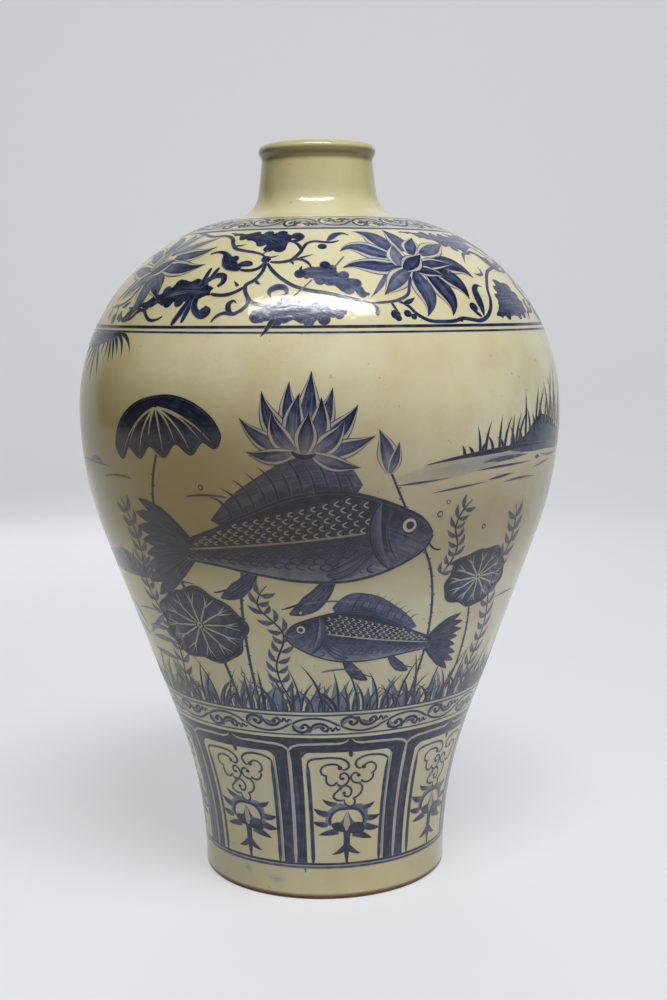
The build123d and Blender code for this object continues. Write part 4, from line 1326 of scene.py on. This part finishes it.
def bank(turn):
    """Draws the reeds, banks, water lines and hanging leaves beside the picture."""

    def at(points):
        return turned(points, turn)

    paint["layer"] = 0
    shallow_top = [(15, 240.6), (20, 244.6), (30, 249), (40, 250), (52, 251)]
    shallow_low = [(15, 240.2), (21, 238.6), (30, 240), (40, 244), (52, 249)]
    fill(at(shallow_top), at(shallow_low), (0.14, 0.2, 0.12), 0.2)
    bank_top = [(46, 254), (52, 258), (58, 267), (64, 266), (72, 259), (84, 256), (92, 252)]
    bank_low = [(46, 251), (54, 249), (62, 249), (72, 248), (84, 249), (92, 251)]
    fill(at(bank_top), at(bank_low), (1.0, 0.95, 0.6))
    shore = [(23.2, 247), (28, 248.8), (34, 250.4), (40, 251.4), (48, 252.4), (58, 252.6), (70, 251.4)]
    brush(at(shore), 3.0, (0.95, 1.15, 1.1, 0.7), LEAF)
    for path, width, load in (
        (((38, 246.4), (46, 247.6), (54, 248)), 3.0, 0.6),
        (((36, 242.4), (42, 243.4), (48, 243.8), (56, 244.2)), 1.4, 0.75),
        (((16, 237.6), (24, 239), (30, 240.4)), 1.3, 0.55),
        (((25, 233), (32, 234.8), (40, 236.6)), 1.2, 0.55),
        (((40, 237.2), (44, 238.4), (49, 239.4)), 1.6, 0.75),
        (((45, 235), (52, 236.2), (59, 235.6)), 1.3, 0.6),
        (((57, 240.4), (62, 241.8), (68, 243)), 1.3, 0.45),
        (((60, 247), (66, 245.6), (76, 246.4)), 1.4, 0.45),
        (((57.4, 245.4), (58.6, 245.8), (60, 245.4)), 2.2, 0.75),
        (((-76, 244.4), (-66, 244.6), (-54, 243.6)), 1.6, 0.6),
        (((-66, 245.2), (-62, 247), (-58, 244.6)), 2.4, 0.65),
        (((55, 168), (62, 169), (71, 168.4)), 1.2, 0.5),
        (((-64, 162), (-58, 163.6), (-50, 163)), 1.2, 0.5),
    ):
        brush(at(path), width, (0.8 * load, load, 0.7 * load), LEAF)
    reeds = (
        (32.6, 250.4, 31.8, 255.8),
        (34.8, 250.8, 33.4, 254.8),
        (36.8, 251.4, 36.0, 264.4),
        (37.4, 251.4, 38.6, 256.6),
        (38.4, 251.6, 40.0, 266.8),
        (40.6, 252.0, 38.8, 259.4),
        (42.6, 252.2, 43.4, 269.4),
        (44.0, 252.4, 41.6, 258.6),
        (44.4, 252.6, 46.6, 268.0),
        (46.8, 252.8, 47.6, 268.8),
        (47.6, 253.0, 46.0, 263.4),
        (48.4, 253.4, 50.2, 269.6),
        (49.4, 254.0, 52.8, 270.6),
        (50.6, 254.2, 48.8, 262.6),
        (52.0, 255.4, 52.3, 280.4),
        (54.0, 256.6, 52.6, 271.0),
        (56.6, 258.0, 54.6, 268.4),
        (56.4, 258.0, 58.6, 281.4),
        (57.8, 260.0, 62.0, 281.2),
        (59.6, 262.0, 58.4, 274.0),
        (61.6, 262.0, 63.0, 277.0),
        (63.6, 262.0, 61.8, 284.0),
        (64.6, 262.0, 68.6, 290.0),
        (66.4, 261.0, 65.0, 286.4),
        (68.0, 260.0, 71.6, 293.0),
        (70.4, 259.0, 69.2, 281.0),
        (73.0, 258.0, 76.4, 284.0),
        (76.0, 257.0, 74.4, 274.0),
        (80.0, 256.0, 82.6, 272.0),
        (84.0, 255.0, 83.0, 266.0),
    )
    for foot_a, foot_m, tip_a, tip_m in reeds:
        lean = tip_a - foot_a
        path = [(foot_a, foot_m), (foot_a + 0.2 * lean, foot_m + 0.45 * (tip_m - foot_m)), (tip_a, tip_m)]
        brush(at(path), 2.1, (1.2, 1.05, 0.8), BLADE)
    paint["layer"] = 0
    islet_top = [(-92, 188), (-78, 192), (-66, 196), (-58, 198), (-50, 190), (-40, 186), (-34, 184.6)]
    islet_low = [(-92, 184), (-78, 183), (-66, 182.6), (-58, 183), (-50, 183.6), (-40, 184), (-34, 184.2)]
    fill(at(islet_top), at(islet_low), (0.45, 0.65, 0.75))
    brush(at([(-33, 184.2), (-42, 184.4), (-54, 183.6), (-70, 183)]), 1.7, (0.9, 0.85, 0.5), LEAF)
    islet = 185.4
    for number in range(15):
        foot = -37 - 1.5 * number
        rise = 5 + 5.5 * ((number * 7) % 5) / 4 + 0.35 * number
        hand = -1 if number % 3 else 1
        path = [(foot, islet), (foot + 0.4 * hand, islet + 0.6 * rise), (foot + 2.4 * hand, islet + rise)]
        brush(at(path), 1.6, (0.85, 0.7), BLADE)
    paint["layer"] = 0
    hung = (
        (-47.4, 301.4), (-50.6, 298.6), (-52.6, 300.2), (-54.2, 297.6), (-56.2, 296.2), (-58.6, 298.6),
        (-61.4, 300.2), (-64.4, 302.0),
    )
    for number, (tip_a, tip_m) in enumerate(hung):
        root = (-56 - 0.7 * number, 312.2)
        bow = 1.4 if tip_a > -52 else 0
        middle = (0.45 * root[0] + 0.55 * tip_a + bow, 0.5 * root[1] + 0.5 * tip_m + 2)
        brush(at([root, middle, (tip_a, tip_m)]), 2.5, (0.9, 0.8, 0.7), LEAF)
    for tip_a, tip_m in ((-61, 288), (-66, 286), (-70, 290), (-74, 294), (-79, 298), (-83, 303)):
        middle = (0.5 * (tip_a - 66), 0.5 * (tip_m + 309) + 2)
        brush(at([(-66, 309), middle, (tip_a, tip_m)]), 2.8, (0.7, 0.55), LEAF)
    fill(at([(-54, 312.4), (-64, 312.4), (-84, 312.4)]), at([(-55, 309), (-64, 306), (-84, 310)]), (0.8, 0.5))
    paint["layer"] = 0
    for path in (
        ((-63, 147), (-55, 155), (-45, 168)),
        ((-61, 152), (-54, 153.6), (-46, 152)),
        ((-61, 146), (-54, 146.6), (-46, 145)),
        ((-64, 138), (-56, 136.6), (-47, 135)),
        ((-64, 150), (-66, 158), (-71, 166)),
        ((-64, 145), (-70, 150), (-77, 153)),
    ):
        brush(at(path), 3.4, (0.6, 0.5, 0.55), LEAF, WASH)


def grass_border():
    """Draws the blades along the foot of the picture, all round, the same each time."""
    chance = np.random.default_rng(7)
    for number in range(180):
        paint["layer"] = number % 12
        foot = -180 + 2 * number + chance.uniform(-1.2, 1.2)
        tall = chance.uniform(9, 21)
        lean = chance.uniform(-5, 5)
        path = [(foot, 112.4), (foot + 0.3 * lean, 112.4 + 0.55 * tall), (foot + lean, 112.4 + tall)]
        wash = chance.uniform(0.3, 0.6)
        brush(path, chance.uniform(2.4, 4.0), (wash, 0.8 * wash, 0.7 * wash), BLADE, WASH)
    for number in range(300):
        paint["layer"] = 12 + number % 20
        foot = -180 + 1.2 * number + chance.uniform(-0.9, 0.9)
        tall = chance.uniform(8, 20) if number % 5 else chance.uniform(20, 32)
        lean = chance.uniform(-8, 8)
        path = [(foot, 112.2), (foot + 0.25 * lean, 112.4 + 0.5 * tall), (foot + lean, 112.4 + tall)]
        dark = chance.uniform(0.8, 1.25)
        brush(path, chance.uniform(1.1, 2.2), (dark, 0.9 * dark, 0.75 * dark), BLADE)


for turn in (0, 180):
    bank(turn)
grass_border()
painted("cobalt_banks_and_grass")

# Floor and backdrop: one pale sheet that lies under the vase and runs up behind it in a wide bend. It is not
# part of the object. Seen or mirrored it is half lit of itself, so that it stays pale away from the lamps.
SHEET_SIZE = 5  # metres
SHEET_BACK = -0.7  # move of its back edge
SHEET_RISE = 2.4
SHEET_BEND = 0.35
HALF_LIT = 0.5
bpy.ops.object.select_all(action="DESELECT")
bpy.ops.mesh.primitive_plane_add(size=SHEET_SIZE, location=(0, 0, 0))
sweep = bpy.context.object
sweep.name = "pale_sweep"
bpy.ops.object.mode_set(mode="EDIT")
bpy.ops.mesh.select_all(action="DESELECT")
bpy.ops.object.mode_set(mode="OBJECT")
for edge in sweep.data.edges:
    edge.select = all(sweep.data.vertices[v].co.y > 1 for v in edge.vertices)
for vertex in sweep.data.vertices:
    vertex.select = vertex.co.y > 1
bpy.ops.object.mode_set(mode="EDIT")
bpy.ops.transform.translate(value=(0, SHEET_BACK, 0))
bpy.ops.mesh.extrude_region_move(TRANSFORM_OT_translate={"value": (0, 0, SHEET_RISE)})
bpy.ops.object.mode_set(mode="OBJECT")
bend = sweep.modifiers.new("bend", "BEVEL")
bend.width = SHEET_BEND
bend.segments = 24
bend.limit_method = "ANGLE"
bpy.ops.object.modifier_apply(modifier="bend")
bpy.ops.object.shade_smooth()
pale_sheet, tree = bare_material("pale_backdrop_sheet")
matt = add_node(tree, "ShaderNodeBsdfDiffuse", {"Color": linear("#d8d9dc")})
lit = add_node(tree, "ShaderNodeEmission", {"Color": linear("#f9fafd"), "Strength": 1.0})
seen = add_node(tree, "ShaderNodeLightPath", {})
looked = add_node(
    tree,
    "ShaderNodeMath",
    {0: (seen, "Is Camera Ray"), 1: (seen, "Is Transmission Ray")},
    operation="MAXIMUM",
)
shown = add_node(tree, "ShaderNodeMath", {0: (looked, 0), 1: (seen, "Is Glossy Ray")}, operation="MAXIMUM")
share = add_node(tree, "ShaderNodeMath", {0: (shown, 0), 1: HALF_LIT}, operation="MULTIPLY")
sheet = add_node(tree, "ShaderNodeMixShader", {0: (share, 0), 1: (matt, 0), 2: (lit, 0)})
add_node(tree, "ShaderNodeOutputMaterial", {0: (sheet, 0)})
sweep.data.materials.append(pale_sheet)

# Light: one big soft lamp high in front does nearly all the lighting, with weak fills at the right and low
# behind. A long soft box is only mirrored by the glaze, as the white streak along the shoulder. A faint room
# light does the rest. Each row: name, form, place, aim, width, depth, watts, whether it lights, is mirrored.
LAMPS = (
    ("soft_key", "RECTANGLE", (0.22, -0.77, 1.68), (0.0, 0.0, 0.25), 0.8, 0.5, 26.0, True, False),
    ("right_fill", "RECTANGLE", (1.5, -0.7, 0.7), (0.0, 0.0, 0.25), 1.0, 1.0, 2.2, True, False),
    ("back_fill", "RECTANGLE", (-0.3, 1.35, 0.75), (0.0, 0.0, 0.22), 1.0, 0.8, 7.0, True, False),
    ("long_soft_box", "ELLIPSE", (-0.04, -0.60, 1.41), (0.0, -0.1, 0.32), 1.15, 0.15, 13.5, False, True),
)
for name, form, stands, aims, wide, deep, power, lights, mirrored in LAMPS:
    lamp_data = bpy.data.lights.new(name, "AREA")
    lamp_data.shape = form
    lamp_data.size = wide
    lamp_data.size_y = deep
    lamp_data.energy = power
    lamp = bpy.data.objects.new(name, lamp_data)
    scene.collection.objects.link(lamp)
    lamp.location = stands
    lamp.visible_diffuse = lights
    lamp.visible_glossy = mirrored
    way = np.array(aims) - np.array(stands)
    lamp.rotation_euler = (atan2(np.hypot(way[0], way[1]), -way[2]), 0, atan2(-way[0], way[1]))
room = bpy.data.worlds.new("room_light")
scene.world = room
room.use_nodes = True
room.node_tree.nodes["Background"].inputs["Color"].default_value = linear("#f4f6fa")
room.node_tree.nodes["Background"].inputs["Strength"].default_value = 0.03

# Camera: at the height of the shoulder, about two heights of the vase away and a little right of its axis. It
# has a normal lens on an upright frame, tipped down by seven degrees and rolled by about half a degree.
TIPPED_DOWN = 7.18
ROLLED = -0.596
view_data = bpy.data.cameras.new("photo_view")
view_data.sensor_fit = "VERTICAL"
view_data.sensor_height = 36.0
view_data.lens = 52.34
view = bpy.data.objects.new("photo_view", view_data)
scene.collection.objects.link(view)
view.location = (0.00702, -0.809, 0.308)
view.rotation_mode = "ZYX"
view.rotation_euler = (radians(90 - TIPPED_DOWN), 0, radians(ROLLED))
scene.camera = view
scene.view_settings.view_transform = "Standard"
